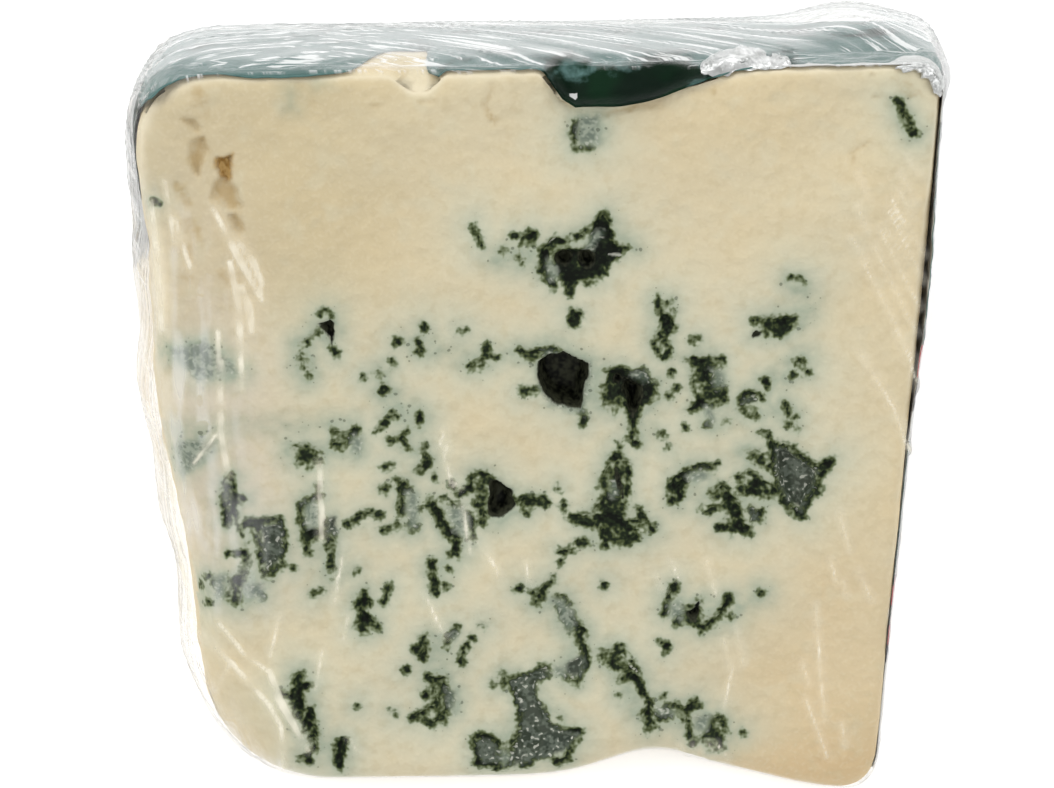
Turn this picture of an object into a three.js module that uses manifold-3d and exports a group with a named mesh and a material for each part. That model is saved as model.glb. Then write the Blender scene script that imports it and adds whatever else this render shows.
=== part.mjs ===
// A wedge of blue cheese as a shop sells it. It lies on one of its two cut faces, and the other one slopes
// up from the thin tip to the tall rim. Printed foil still covers the wheel's side and one of its flats, and
// clear stretch film is wrapped round the whole.
//
// Millimetres. +X runs across the height of the wheel, +Y from the tip to the rim, and +Z up. The forms are
// written with the tip edge at y = 0 and the lower cut face at z = 0, and the group moves them to the origin.
import * as THREE from "three";
import { mergeVertices } from "three/addons/utils/BufferGeometryUtils.js";
import Module from "manifold-3d";

const wasm = await Module();
wasm.setup();

const { smoothstep, lerp, degToRad } = THREE.MathUtils;

// Driving dimensions
const WHEEL_RADIUS = 95;
const WEDGE_ANGLE = degToRad(27);
const RIM_WIDTH = 98;
const TIP_WIDTH = 83.5;
const TIP_THICKNESS = 5;

// Each edge's rounding, as the length over which its two faces blend
const ROUNDING = { rimLeft: 12, rimRight: 5, tipLeft: 16, tipRight: 4, top: 1.8, shoulder: 8, bottom: 2.4 };
const FILM_ROUNDING = { top: 0.8, shoulder: 7, bottom: 1 };

// The soft left shoulder: how wide it is, and where it gets sharper towards the rim
const SHOULDER_WIDTH = 16;
const SHOULDER_ENDS = { from: 60, to: 74, left: 0.3 };

// The soft left flat bulges, and the thin tip edge is dented and runs out to a toe
const BULGE = { at: 46, reach: 13, height: 1.4 };
const TIP_DENT = { at: 14.5, reach: 8.5, depth: 3.2 };
const TIP_TOE = { from: 24, to: 39, reach: 2 };
const FACE_WAVE = 0.22;

// Where the rim's edge is broken back along the cut face. Each break deepens between its first two places
// across, and fades between its last two.
const CHIPS = [
  { from: -39, full: -33, fading: -27, to: -20, depth: 0.5 },
  { from: -17.5, full: -14, fading: -13, to: -10, depth: 2 },
  { from: 0.5, full: 5, fading: 9.5, to: 28, depth: 4 },
];
const CHIP_HEIGHT = 7;

// Foil and film are far thinner than this. They are drawn thick enough to be solids.
const FOIL_GAP = 0.35;
const FOIL_THICKNESS = 0.45;
const FOIL_CRUMPLE = 0.3;
const FILM_GAP = 0.35;
const FILM_THICKNESS = 0.4;
const PLEAT_DEPTH = 0.35;

// The film's loose fringe along the left flat, which starts and ends with a ramp
const FRINGE = { reach: 2.3, from: 4, full: 16, fading: 60, to: 78 };

const SLOPE = Math.tan(WEDGE_ANGLE);
const LEAN = Math.cos(WEDGE_ANGLE);
const FLAT_LEAN = Math.cos((RIM_WIDTH - TIP_WIDTH) / 2 / WHEEL_RADIUS);

const faceHeight = (y) => TIP_THICKNESS + SLOPE * y;

// The wheel's flats spread a little from its middle to its rim
const radius = ({ y, z }) => Math.hypot(y, z);
const halfWidth = (p) => lerp(TIP_WIDTH, RIM_WIDTH, radius(p) / WHEEL_RADIUS) / 2;

// Where the cut face meets the rim: y² + faceHeight(y)² = radius²
const RIM_EDGE_Y = (() => {
  const a = 1 + SLOPE * SLOPE;
  const b = 2 * SLOPE * TIP_THICKNESS;
  const c = TIP_THICKNESS * TIP_THICKNESS - WHEEL_RADIUS * WHEEL_RADIUS;
  return (-b + Math.sqrt(b * b - 4 * a * c)) / (2 * a);
})();

const bump = (x, { at, reach }) => Math.exp(-(((x - at) / reach) ** 2));
const chipDepth = (x, { from, full, fading, to, depth }) =>
  depth * smoothstep(x, from, full) * (1 - smoothstep(x, fading, to));
const smoothMax = (a, b, blend) => {
  const overlap = Math.max(blend - Math.abs(a - b), 0) / blend;
  return Math.max(a, b) + (overlap * overlap * blend) / 4;
};

// ---- The wedge's form, as a distance that is negative inside ----

// The rim, the tip and the wheel's two flats. `broken` says whether the rim's edge has its breaks.
const sides = ({ x, y, z }, broken = false) => {
  const edge = halfWidth({ y, z });
  let rim = radius({ y, z }) - WHEEL_RADIUS;
  if (broken) {
    const chips = CHIPS.reduce((sum, chip) => sum + chipDepth(x, chip), 0);
    rim += chips * (1 - smoothstep(faceHeight(y) - z, 0, CHIP_HEIGHT));
  }
  const toe = TIP_TOE.reach * smoothstep(x, TIP_TOE.from, TIP_TOE.to);
  const tip = TIP_DENT.depth * bump(x, TIP_DENT) - toe - y;
  const left = (-x - edge) * FLAT_LEAN - BULGE.height * bump(y, BULGE);
  const right = (x - edge) * FLAT_LEAN;
  const rimAndLeft = smoothMax(rim, left, ROUNDING.rimLeft);
  const withTip = smoothMax(rimAndLeft, tip, x < 0 ? ROUNDING.tipLeft : ROUNDING.tipRight);
  return smoothMax(withTip, right, ROUNDING.rimRight);
};

// How far the soft left shoulder is in force at a place, from 0 to 1
const shoulderShare = (p) => {
  const left = 1 - smoothstep(p.x + halfWidth(p), 0, SHOULDER_WIDTH);
  const { from, to, left: share } = SHOULDER_ENDS;
  return left * lerp(1, share, smoothstep(p.y, from, to));
};

const faceWave = ({ x, y }) => {
  const along = Math.sin(0.19 * x + 0.7) * Math.sin(0.23 * y);
  const across = Math.sin(0.31 * y - 0.17 * x);
  return FACE_WAVE * (along + across);
};

// The form between the two cut faces, inside the given sides
const wedge = (p, around, rounding) => {
  const cutFace = (p.z - faceHeight(p.y)) * LEAN - faceWave(p);
  const blend = lerp(rounding.top, rounding.shoulder, shoulderShare(p));
  return smoothMax(smoothMax(around, cutFace, blend), -p.z, rounding.bottom);
};

// Moves a point along a form's own slope until it lies `distance` outside that form
const STEPS = 16;
const PROBE = 0.02;
const settle = (point, form, distance) => {
  for (let i = 0; i < STEPS; i++) {
    const value = form(point);
    const slope = new THREE.Vector3();
    for (const axis of ["x", "y", "z"]) {
      const ahead = point.clone();
      ahead[axis] += PROBE;
      slope[axis] = (form(ahead) - value) / PROBE;
    }
    point.addScaledVector(slope, (distance - value) / Math.max(slope.lengthSq(), 0.25));
  }
  return point;
};

// ---- Geometry helpers ----

// Steps from -1 to 1 that crowd towards the ends, where the rounded edges are
const crowded = (u) => lerp(u, Math.sin((u * Math.PI) / 2), 0.55);

// A point of the cube from -1 to 1, stretched to the wedge's place before its edges are rounded
const stretched = (u, v, w) => {
  const along = (crowded(v) + 1) / 2;
  const up = (crowded(w) + 1) / 2;
  const y = along * lerp(WHEEL_RADIUS, RIM_EDGE_Y, up);
  const z = up * faceHeight(along * RIM_EDGE_Y);
  return new THREE.Vector3(crowded(u) * halfWidth({ y, z }), y, z);
};

const indexed = (geometry) => {
  geometry.deleteAttribute("normal");
  geometry.deleteAttribute("uv");
  return mergeVertices(geometry, 1e-4);
};

const cube = ({ columns, rows, layers }) => indexed(new THREE.BoxGeometry(2, 2, 2, columns, rows, layers));

const vertices = (geometry) => {
  const { position } = geometry.attributes;
  const point = (_, i) => new THREE.Vector3().fromBufferAttribute(position, i);
  return Array.from({ length: position.count }, point);
};

const faces = (geometry) => {
  const { index } = geometry;
  return Array.from({ length: index.count / 3 }, (_, i) => [0, 1, 2].map((k) => index.getX(3 * i + k)));
};

const mesh = (points, triangles) => {
  const geometry = new THREE.BufferGeometry();
  const places = points.flatMap((p) => p.toArray());
  geometry.setAttribute("position", new THREE.Float32BufferAttribute(places, 3));
  geometry.setIndex(triangles.flat());
  return geometry;
};

const toManifold = ({ attributes, index }) =>
  new wasm.Manifold(
    new wasm.Mesh({
      numProp: 3,
      vertProperties: new Float32Array(attributes.position.array),
      triVerts: new Uint32Array(index.array),
    }),
  );

const toGeometry = (solid) => {
  const { vertProperties, triVerts } = solid.getMesh();
  const geometry = new THREE.BufferGeometry();
  geometry.setAttribute("position", new THREE.BufferAttribute(vertProperties, 3));
  geometry.setIndex(new THREE.BufferAttribute(triVerts, 1));
  return geometry;
};

// A closed skin from an outer and an inner sheet with the same faces, joined along their open edges
const skin = (outer, inner, sheet) => {
  const seam = new Map();
  for (const [a, b, c] of sheet) {
    for (const [from, to] of [[a, b], [b, c], [c, a]]) {
      if (!seam.delete(`${to},${from}`)) seam.set(`${from},${to}`, [from, to]);
    }
  }
  const below = outer.length;
  const underside = sheet.map(([a, b, c]) => [a + below, c + below, b + below]);
  const walls = [...seam.values()].flatMap(([from, to]) => [
    [to, from, from + below],
    [to, from + below, to + below],
  ]);
  return mesh([...outer, ...inner], [...sheet, ...underside, ...walls]);
};

const random = (seed) => {
  let state = seed + 1;
  return () => {
    state = (state * 1664525 + 1013904223) % 4294967296;
    return state / 4294967296;
  };
};

// ---- The cheese, with the mould pockets that open at its cut face ----

const CHEESE_CELLS = { columns: 24, rows: 24, layers: 7 };

// Each pocket: x across and y from the tip, its length and width, how deep it goes, and the turn of its
// length from the X axis towards Y in degrees
const POCKETS = [
  [2, 61, 5, 3.2, 3.4, 95], // the star under the rim
  [6, 61, 6, 3.6, 4.4, 20],
  [8.5, 64.5, 5.5, 2, 2.8, 75],
  [3.5, 47.5, 6.8, 5.8, 5.4, 100], // the deep hole in the middle
  [9.5, 46.5, 4, 3, 2.4, 170],
  [12, 45.5, 6, 2.8, 4, 95],
  [15.5, 53.5, 6.4, 1.4, 1.6, 85],
  [21.5, 47, 5.5, 3, 1.2, 85],
  [29.5, 53.5, 4.6, 2.2, 1.6, 15],
  [32.5, 35.5, 8.5, 4.8, 3.2, 108], // the wide one on the right
  [35, 37, 4.5, 2.4, 2.2, 20],
  [24, 32, 6.4, 2.2, 2.4, 113],
  [18, 34.5, 4.4, 1.4, 1.8, 65],
  [9.5, 35, 7, 2.4, 2.8, 92],
  [9, 30.5, 8.5, 2.6, 2, 0],
  [-4.5, 33.5, 5, 3.2, 3.6, 140],
  [-11.5, 30, 7, 1.4, 1.4, 114],
  [-25, 53.5, 3.4, 1.6, 2.6, 105], // the small black hole on the left
  [-38, 34, 5.6, 1.6, 1.6, 90],
  [-33, 28.5, 5.5, 2.2, 1.8, 93],
  [-37.5, 23.5, 4.4, 2, 1.8, 75],
  [-29, 30.5, 6.5, 1.4, 1.2, 88],
  [-21.5, 20.5, 4.6, 1.8, 2, 100],
  [-30, 11, 5, 2, 1.8, 90],
  [-28.5, 5, 5, 1.6, 1.4, 80],
  [-12, 9, 5, 1.6, 1.4, 95],
  [19.5, 19.5, 2.8, 2.2, 2.6, 60],
  [22, 19.5, 4.2, 1.4, 1.6, 30],
  [12, 10, 7.4, 1.8, 1.8, 112],
  [-1.5, 6.5, 8.5, 2.4, 1.4, 97],
  [4.5, 18, 7, 1.2, 1.2, 115],
  [-37, 71, 5.4, 2, 2.8, 95], // the two brown cracks near the left corner
  [-40.5, 73.5, 4, 1.4, 1.4, 115],
];
const POCKET_ROUGHNESS = 0.22;
const LARGE_POCKET = 7;

const pocketCutter = ([x, y, length, width, depth, turn], seed) => {
  const draw = random(seed);
  const ball = indexed(new THREE.IcosahedronGeometry(1, length > LARGE_POCKET ? 2 : 1));
  const placed = new THREE.Matrix4()
    .makeTranslation(x, y, faceHeight(y))
    .multiply(new THREE.Matrix4().makeRotationX(WEDGE_ANGLE))
    .multiply(new THREE.Matrix4().makeRotationZ(degToRad(turn)))
    .multiply(new THREE.Matrix4().makeScale(length / 2, width / 2, depth));
  const rough = vertices(ball).map((p) => {
    p.multiplyScalar(1 + POCKET_ROUGHNESS * (2 * draw() - 1));
    return p.applyMatrix4(placed);
  });
  return toManifold(mesh(rough, faces(ball)));
};

const cheeseGeometry = () => {
  const block = cube(CHEESE_CELLS);
  const form = (p) => wedge(p, sides(p, true), ROUNDING);
  const points = vertices(block).map((p) => settle(stretched(p.x, p.y, p.z), form, 0));
  const cutters = POCKETS.map(pocketCutter);
  return toGeometry(toManifold(mesh(points, faces(block))).subtract(wasm.Manifold.union(cutters)));
};

// ---- The foil: it wraps the left corner, the rim and the whole right flat ----

const FOIL_COLUMNS = { left: 8, rim: 30, right: 24 };
const FOIL_ROWS = 6;
const FOIL_ENDS = { left: 0.45, right: -0.9 };
const FOIL_TORN = 0.3;
const FOIL_FROM_FLOOR = 1.9;
const FOIL_FROM_EDGE = { top: 1.1, shoulder: 3.4 };

const foilCrumple = ({ x, y, z }) =>
  FOIL_CRUMPLE * (0.5 + 0.25 * Math.sin(0.55 * x + 0.21 * z) + 0.25 * Math.sin(0.37 * y - 0.48 * z + 1.3));

// Places along the foil's foot: how far it is towards the torn end, and where it is on the wedge's outline
const foilPath = () => {
  const { left, rim, right } = FOIL_COLUMNS;
  const path = [];
  for (let i = 0; i < left; i++) {
    path.push({ torn: 1 - i / left, u: -1, v: lerp(FOIL_ENDS.left, 1, i / left) });
  }
  for (let i = 0; i < rim; i++) path.push({ torn: 0, u: lerp(-1, 1, i / rim), v: 1 });
  for (let i = 0; i <= right; i++) path.push({ torn: 0, u: 1, v: lerp(1, FOIL_ENDS.right, i / right) });
  return path;
};

const foilGeometry = () => {
  const path = foilPath();
  const sheet = (gap) =>
    path.flatMap(({ torn, u, v }) => {
      const foot = stretched(u, v, -1);
      const head = stretched(u, v, 1);
      const short = u < 0 ? FOIL_FROM_EDGE.shoulder : FOIL_FROM_EDGE.top;
      const top = lerp(head.z - short, head.z * (1 - FOIL_TORN), torn);
      return Array.from({ length: FOIL_ROWS + 1 }, (_, row) => {
        const p = foot.clone().lerp(head, row / FOIL_ROWS);
        p.z = lerp(FOIL_FROM_FLOOR, top, row / FOIL_ROWS);
        // The foil's height stays, so it settles in its own level
        const level = p.z;
        const form = (q) => sides({ x: q.x, y: q.y, z: level }) - foilCrumple({ x: q.x, y: q.y, z: level });
        return settle(p, form, gap).setZ(level);
      });
    });
  const stride = FOIL_ROWS + 1;
  const quads = [];
  for (let column = 0; column + 1 < path.length; column++) {
    for (let row = 0; row < FOIL_ROWS; row++) {
      const a = column * stride + row;
      quads.push([a, a + 1, a + stride + 1], [a, a + stride + 1, a + stride]);
    }
  }
  return skin(sheet(FOIL_GAP + FOIL_THICKNESS), sheet(FOIL_GAP), quads);
};

// ---- The film: all round, with its gathered ends leaving an opening on the underside ----

const FILM_CELLS = { columns: 18, rows: 16, layers: 7 };
const FILM_OPENING = { u: 0.25, v: 0.4 };
const OVER_FOIL = FOIL_GAP + FOIL_CRUMPLE + FOIL_THICKNESS + 0.1;

// Three folds of the gathered film stand out below the rest of the underside, and the wedge lies on them
const FOLDS = [
  { u: -7 / 9, v: 7 / 8 },
  { u: 7 / 9, v: 7 / 8 },
  { u: 0, v: -7 / 8 },
];
const FOLD_DEPTH = 0.25;
const isFold = ({ x, y, z }) => z < -0.99 && FOLDS.some(({ u, v }) => Math.hypot(x - u, y - v) < 0.01);

// How far the film's sides stand out past its gap to the cheese: over the foil, and in the loose left fringe
const filmSpread = ({ x, y, z }) => {
  const edge = halfWidth({ y, z });
  const overRim = smoothstep(radius({ y, z }), WHEEL_RADIUS - 7, WHEEL_RADIUS - 2);
  const overRight = smoothstep(x, edge - 5, edge - 1.5);
  const overCorner = smoothstep(-x, edge - 8, edge - 2) * smoothstep(y, 52, 62);
  const overFoil = Math.max(overRim, overRight, overCorner);
  const ramp = smoothstep(y, FRINGE.from, FRINGE.full) * (1 - smoothstep(y, FRINGE.fading, FRINGE.to));
  const ripple = 0.85 + 0.15 * Math.sin(0.42 * y);
  const fringe = ramp * FRINGE.reach * ripple * smoothstep(-x, edge - 4, edge - 1);
  const pleats = PLEAT_DEPTH * (0.5 + 0.5 * Math.sin(0.9 * x + 1.1 * z));
  return Math.max(overFoil * (OVER_FOIL + pleats), fringe);
};

const filmGeometry = () => {
  const block = cube(FILM_CELLS);
  const corners = vertices(block);
  const form = (p) => wedge(p, sides(p) - filmSpread(p), FILM_ROUNDING);
  const sheet = (gap) =>
    corners.map((corner) => {
      const start = stretched(corner.x, corner.y, corner.z);
      const room = new THREE.Vector3(1, 1, 0).multiplyScalar(filmSpread(start)).addScalar(gap);
      const place = settle(start.add(room.multiply(corner)), form, gap);
      if (isFold(corner)) place.z -= FOLD_DEPTH;
      return place;
    });
  const isOpen = (i) => {
    const { x, y, z } = corners[i];
    return z < -0.99 && Math.abs(x) < FILM_OPENING.u && Math.abs(y) < FILM_OPENING.v;
  };
  const cover = faces(block).filter((triangle) => !triangle.every(isOpen));
  return skin(sheet(FILM_GAP + FILM_THICKNESS), sheet(FILM_GAP), cover);
};

// ---- Assembly ----

const MATERIALS = {
  cheese: new THREE.MeshStandardMaterial({ color: 0xcfc3a2, roughness: 0.55, metalness: 0 }),
  foil: new THREE.MeshStandardMaterial({ color: 0x123c2c, roughness: 0.35, metalness: 0.6 }),
  film: new THREE.MeshStandardMaterial({
    color: 0xf4f6f5,
    roughness: 0.15,
    metalness: 0,
    transparent: true,
    opacity: 0.2,
    depthWrite: false,
  }),
};

const named = (name, geometry, material) => {
  const faceted = geometry.toNonIndexed();
  faceted.computeVertexNormals();
  const piece = new THREE.Mesh(faceted, material);
  piece.name = name;
  return piece;
};

const cheeseWedge = new THREE.Group();
cheeseWedge.add(
  named("cheese", cheeseGeometry(), MATERIALS.cheese),
  named("foil", foilGeometry(), MATERIALS.foil),
  named("film", filmGeometry(), MATERIALS.film),
);

// The origin is the middle of the footprint, on the surface that the wedge lies on
const bounds = new THREE.Box3().setFromObject(cheeseWedge);
const middle = bounds.getCenter(new THREE.Vector3());
cheeseWedge.position.set(-middle.x, -middle.y, -bounds.min.z);

export default cheeseWedge;
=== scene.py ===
"""A wedge of blue cheese, in printed foil and clear stretch film.

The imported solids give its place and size. Three pieces replace them: the cheese with its veins and pockets,
the crumpled foil round its crust, and the wrinkled film over everything. Two crumpled folds of the foil's
torn edge are added. Forms are worked out in millimetres, with the wedge's tip edge at y = 0 and its lower cut
face at z = 0, and then moved into the frame in metres.
"""

import math
from itertools import product

import bpy
import numpy as np
from mathutils import Matrix, Vector


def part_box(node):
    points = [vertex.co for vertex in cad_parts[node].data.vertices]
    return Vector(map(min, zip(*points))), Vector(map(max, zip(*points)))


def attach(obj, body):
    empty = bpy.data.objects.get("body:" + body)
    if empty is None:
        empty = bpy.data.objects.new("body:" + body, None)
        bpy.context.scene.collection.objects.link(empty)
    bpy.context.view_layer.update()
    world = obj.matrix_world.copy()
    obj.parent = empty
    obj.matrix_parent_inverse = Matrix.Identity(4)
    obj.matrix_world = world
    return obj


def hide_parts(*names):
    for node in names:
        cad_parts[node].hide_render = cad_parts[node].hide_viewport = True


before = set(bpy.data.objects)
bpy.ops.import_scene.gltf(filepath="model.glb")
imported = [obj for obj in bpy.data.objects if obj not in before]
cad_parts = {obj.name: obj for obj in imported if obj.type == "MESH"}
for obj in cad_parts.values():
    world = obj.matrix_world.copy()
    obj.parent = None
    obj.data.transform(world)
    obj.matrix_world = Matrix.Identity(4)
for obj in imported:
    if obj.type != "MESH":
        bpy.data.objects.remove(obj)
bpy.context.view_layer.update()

MM = 0.001

# ---------------------------------------------------------------- sizes, as in the solids

WHEEL_RADIUS = 95
WEDGE_ANGLE = math.radians(27)
RIM_WIDTH = 98
TIP_WIDTH = 83.5
TIP_THICKNESS = 5

ROUNDING = {"rim_left": 12, "rim_right": 5, "tip_left": 16, "tip_right": 4,
            "top": 1.8, "shoulder": 8, "bottom": 2.4}
FILM_ROUNDING = {**ROUNDING, "top": 1.0, "shoulder": 7, "bottom": 1.6}
SHOULDER_WIDTH = 16
SHOULDER_ENDS = (60, 74)
SHOULDER_LEFT = 0.3

BULGE = {"at": 46, "reach": 13, "height": 1.4}
TIP_DENT = {"at": 14.5, "reach": 8.5, "depth": 3.2}
TIP_TOE = {"start": 24, "end": 39, "reach": 2}
RIGHT_SWELL = 0.5
FACE_WAVE = 0.22
# The rim edge's breaks: where across each deepens, where it fades again, and how far back it goes
CHIPS = [(-39, -33, -27, -20, 0.5), (-17.5, -14, -13, -10, 2), (0.5, 5, 9.5, 28, 4)]
CHIP_HEIGHT = 7

SLOPE = math.tan(WEDGE_ANGLE)
LEAN = math.cos(WEDGE_ANGLE)
FLAT_LEAN = math.cos((RIM_WIDTH - TIP_WIDTH) / 2 / WHEEL_RADIUS)
FACE_NORMAL = np.array([0, -math.sin(WEDGE_ANGLE), LEAN])


def rim_edge():
    """How far from the tip the cut face meets the rim: y² + height(y)² = radius²."""
    a = 1 + SLOPE**2
    b = 2 * SLOPE * TIP_THICKNESS
    c = TIP_THICKNESS**2 - WHEEL_RADIUS**2
    return (-b + math.sqrt(b * b - 4 * a * c)) / (2 * a)


RIM_EDGE_Y = rim_edge()

# ---------------------------------------------------------------- small helpers


def smoothstep(x, start, end):
    t = np.clip((x - start) / (end - start), 0, 1)
    return t * t * (3 - 2 * t)


def lerp(a, b, t):
    return a + (b - a) * t


def bump(x, at, reach):
    return np.exp(-(((x - at) / reach) ** 2))


def smooth_max(a, b, blend):
    overlap = np.maximum(blend - np.abs(a - b), 0) / blend
    return np.maximum(a, b) + overlap**2 * blend / 4


# Large odd numbers that scatter the bits of a cell's place and seed
SCATTER_CELL = (73856093, 19349663, 83492791)
SCATTER_SEED = 2654435761
SCATTER_FIRST = 1274126177
SCATTER_LAST = 2246822519


def hashed(cells, seed):
    """One number from -1 to 1 for each whole-numbered cell."""
    x, y, z = (cells * SCATTER_CELL).T
    n = x ^ y ^ z ^ (seed * SCATTER_SEED)
    n = (n ^ (n >> 13)) * SCATTER_FIRST
    n = (n ^ (n >> 16)) * SCATTER_LAST & 0xFFFFFFFF
    return n / 0x7FFFFFFF - 1


def noise(points, size, seed):
    """Smooth noise from -1 to 1, with lumps about `size` across. size is a number, or one for each axis."""
    cells = points / np.asarray(size, float)
    low = np.floor(cells).astype(np.int64)
    t = cells - low
    t = t * t * (3 - 2 * t)
    total = np.zeros(len(points))
    for corner in product((0, 1), repeat=3):
        weight = np.prod(np.where(corner, t, 1 - t), axis=1)
        total += weight * hashed(low + np.array(corner), seed)
    return total


def layered_noise(points, size, seed, layers=3):
    total = np.zeros(len(points))
    for layer in range(layers):
        total += noise(points, np.asarray(size, float) / 2**layer, seed + layer) / 2**layer
    return total / 1.5


# ---------------------------------------------------------------- the wedge's form, a distance below 0 inside


def radius(p):
    return np.hypot(p[:, 1], p[:, 2])


def half_width(p):
    """The wheel's flats spread a little from its middle to its rim."""
    return lerp(TIP_WIDTH, RIM_WIDTH, radius(p) / WHEEL_RADIUS) / 2


def face_height(y):
    return TIP_THICKNESS + SLOPE * y


def sides(p, broken=False):
    """The rim, the tip and the wheel's two flats. `broken` says whether the rim's edge has its breaks."""
    x, y, z = p.T
    edge = half_width(p)
    rim = radius(p) - WHEEL_RADIUS
    if broken:
        chips = sum(depth * smoothstep(x, a, b) * (1 - smoothstep(x, c, d)) for a, b, c, d, depth in CHIPS)
        rim = rim + chips * (1 - smoothstep(face_height(y) - z, 0, CHIP_HEIGHT))
    toe = TIP_TOE["reach"] * smoothstep(x, TIP_TOE["start"], TIP_TOE["end"])
    tip = TIP_DENT["depth"] * bump(x, TIP_DENT["at"], TIP_DENT["reach"]) - toe - y
    left = (-x - edge) * FLAT_LEAN - BULGE["height"] * bump(y, BULGE["at"], BULGE["reach"])
    right = (x - edge - RIGHT_SWELL) * FLAT_LEAN
    around = smooth_max(rim, left, ROUNDING["rim_left"])
    around = smooth_max(around, tip, np.where(x < 0, ROUNDING["tip_left"], ROUNDING["tip_right"]))
    return smooth_max(around, right, ROUNDING["rim_right"])


def shoulder_share(p):
    left = 1 - smoothstep(p[:, 0] + half_width(p), 0, SHOULDER_WIDTH)
    return left * lerp(1, SHOULDER_LEFT, smoothstep(p[:, 1], *SHOULDER_ENDS))


def wedge(p, around, rounding):
    """The form between the two cut faces, inside the given sides."""
    x, y, z = p.T
    wave = FACE_WAVE * (np.sin(0.19 * x + 0.7) * np.sin(0.23 * y) + np.sin(0.31 * y - 0.17 * x))
    cut_face = (z - face_height(y)) * LEAN - wave
    blend = lerp(rounding["top"], rounding["shoulder"], shoulder_share(p))
    return smooth_max(smooth_max(around, cut_face, blend), -z, rounding["bottom"])


STEPS = 9
PROBE = 0.02


def slope_of(form, p, value, level=False):
    slope = np.zeros_like(p)
    for axis in range(2 if level else 3):
        ahead = p.copy()
        ahead[:, axis] += PROBE
        slope[:, axis] = (form(ahead) - value) / PROBE
    return slope


def settle(points, form, distance, level=False):
    """Moves points along a form's own slope to `distance` outside it, or in their own level.

    Returns the places and the form's outward directions there.
    """
    p = points.copy()
    for _ in range(STEPS):
        value = form(p)
        slope = slope_of(form, p, value, level)
        size = np.maximum((slope**2).sum(1), 0.25)
        p += slope * ((distance - value) / size)[:, None]
    slope = slope_of(form, p, form(p))
    return p, slope / np.maximum(np.linalg.norm(slope, axis=1), 1e-6)[:, None]


# ---------------------------------------------------------------- surfaces

CROWDING = 0.25


def crowded(u):
    """Steps from -1 to 1 that crowd a little towards the ends, where the rounded edges are."""
    return lerp(u, np.sin(u * math.pi / 2), CROWDING)


def stretched(cube):
    """Points of the cube from -1 to 1, at their places in the wedge before its edges are rounded."""
    u, v, w = cube.T
    along = (crowded(v) + 1) / 2
    up = (crowded(w) + 1) / 2
    y = along * lerp(WHEEL_RADIUS, RIM_EDGE_Y, up)
    z = up * face_height(along * RIM_EDGE_Y)
    places = np.stack([np.zeros_like(y), y, z], 1)
    places[:, 0] = crowded(u) * half_width(places)
    return places


def cube_surface(columns, rows, layers, coarse):
    """The closed surface of a cube from -1 to 1: fine on top and round the sides, coarse underneath."""
    us = np.linspace(-1, 1, columns + 1)
    vs = np.linspace(-1, 1, rows + 1)
    top = np.array([(u, v, 1.0) for u in us for v in vs])

    def at(i, j):
        return i * (rows + 1) + j

    loop = [(i, 0) for i in range(columns)] + [(columns, j) for j in range(rows)]
    loop += [(i, rows) for i in range(columns, 0, -1)] + [(0, j) for j in range(rows, 0, -1)]
    points = [top]
    count = len(loop)
    rings = []
    for layer in range(layers):
        w = -1 + 2 * layer / layers
        points.append(np.array([(us[i], vs[j], w) for i, j in loop]))
        rings.append([len(top) + layer * count + k for k in range(count)])
    rings.append([at(i, j) for i, j in loop])

    faces = [
        (at(i, j), at(i + 1, j), at(i + 1, j + 1), at(i, j + 1))
        for i in range(columns)
        for j in range(rows)
    ]
    for low, high in zip(rings, rings[1:]):
        faces += [(low[k], low[(k + 1) % count], high[(k + 1) % count], high[k]) for k in range(count)]

    # Underneath, cells are `coarse` times as large, and those at the edge take in the fine ring's points
    foot = {place: rings[0][k] for k, place in enumerate(loop)}
    inner = [(i, j) for i in range(coarse, columns, coarse) for j in range(coarse, rows, coarse)]
    first = sum(len(part) for part in points)
    foot.update({place: first + k for k, place in enumerate(inner)})
    points.append(np.array([(us[i], vs[j], -1.0) for i, j in inner]))

    def edge(a, b):
        run, rise = b[0] - a[0], b[1] - a[1]
        steps = [(a[0] + run * k // coarse, a[1] + rise * k // coarse) for k in range(coarse)]
        return [foot[step] for step in steps if step in foot]

    for i in range(0, columns, coarse):
        for j in range(0, rows, coarse):
            corners = [(i, j), (i, j + coarse), (i + coarse, j + coarse), (i + coarse, j)]
            faces.append(sum((edge(a, b) for a, b in zip(corners, corners[1:] + corners[:1])), []))
    return np.concatenate(points), faces


def make_mesh(name, points, faces, material, fields=None):
    """A smooth mesh object from points in mm, with one float attribute for each field."""
    mesh = bpy.data.meshes.new(name)
    mesh.from_pydata((points * MM).tolist(), [], faces)
    mesh.materials.append(material)
    mesh.shade_smooth()
    for field, values in (fields or {}).items():
        attribute = mesh.attributes.new(field, "FLOAT", "POINT")
        attribute.data.foreach_set("value", np.asarray(values, np.float32))
    mesh.update()
    piece = bpy.data.objects.new(name, mesh)
    bpy.context.scene.collection.objects.link(piece)
    return piece


def grid_faces(columns, rows):
    """The faces between points in columns of rows + 1."""
    stride = rows + 1
    return [
        (a, a + stride, a + stride + 1, a + 1)
        for column in range(columns)
        for a in range(column * stride, column * stride + rows)
    ]


# ---------------------------------------------------------------- the photo's view

PHOTO_WIDTH = 1054
PHOTO_HEIGHT = 788
VIEW_ELEVATION = math.radians(83.5)
VIEW_ROLL = math.radians(0.75)
VIEW_DISTANCE = 560
VIEW_TARGET = np.array([-1.13, 46.83, 20])
LENS = 153.32
SENSOR = 36
FOCUS = LENS / SENSOR * PHOTO_WIDTH

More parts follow.
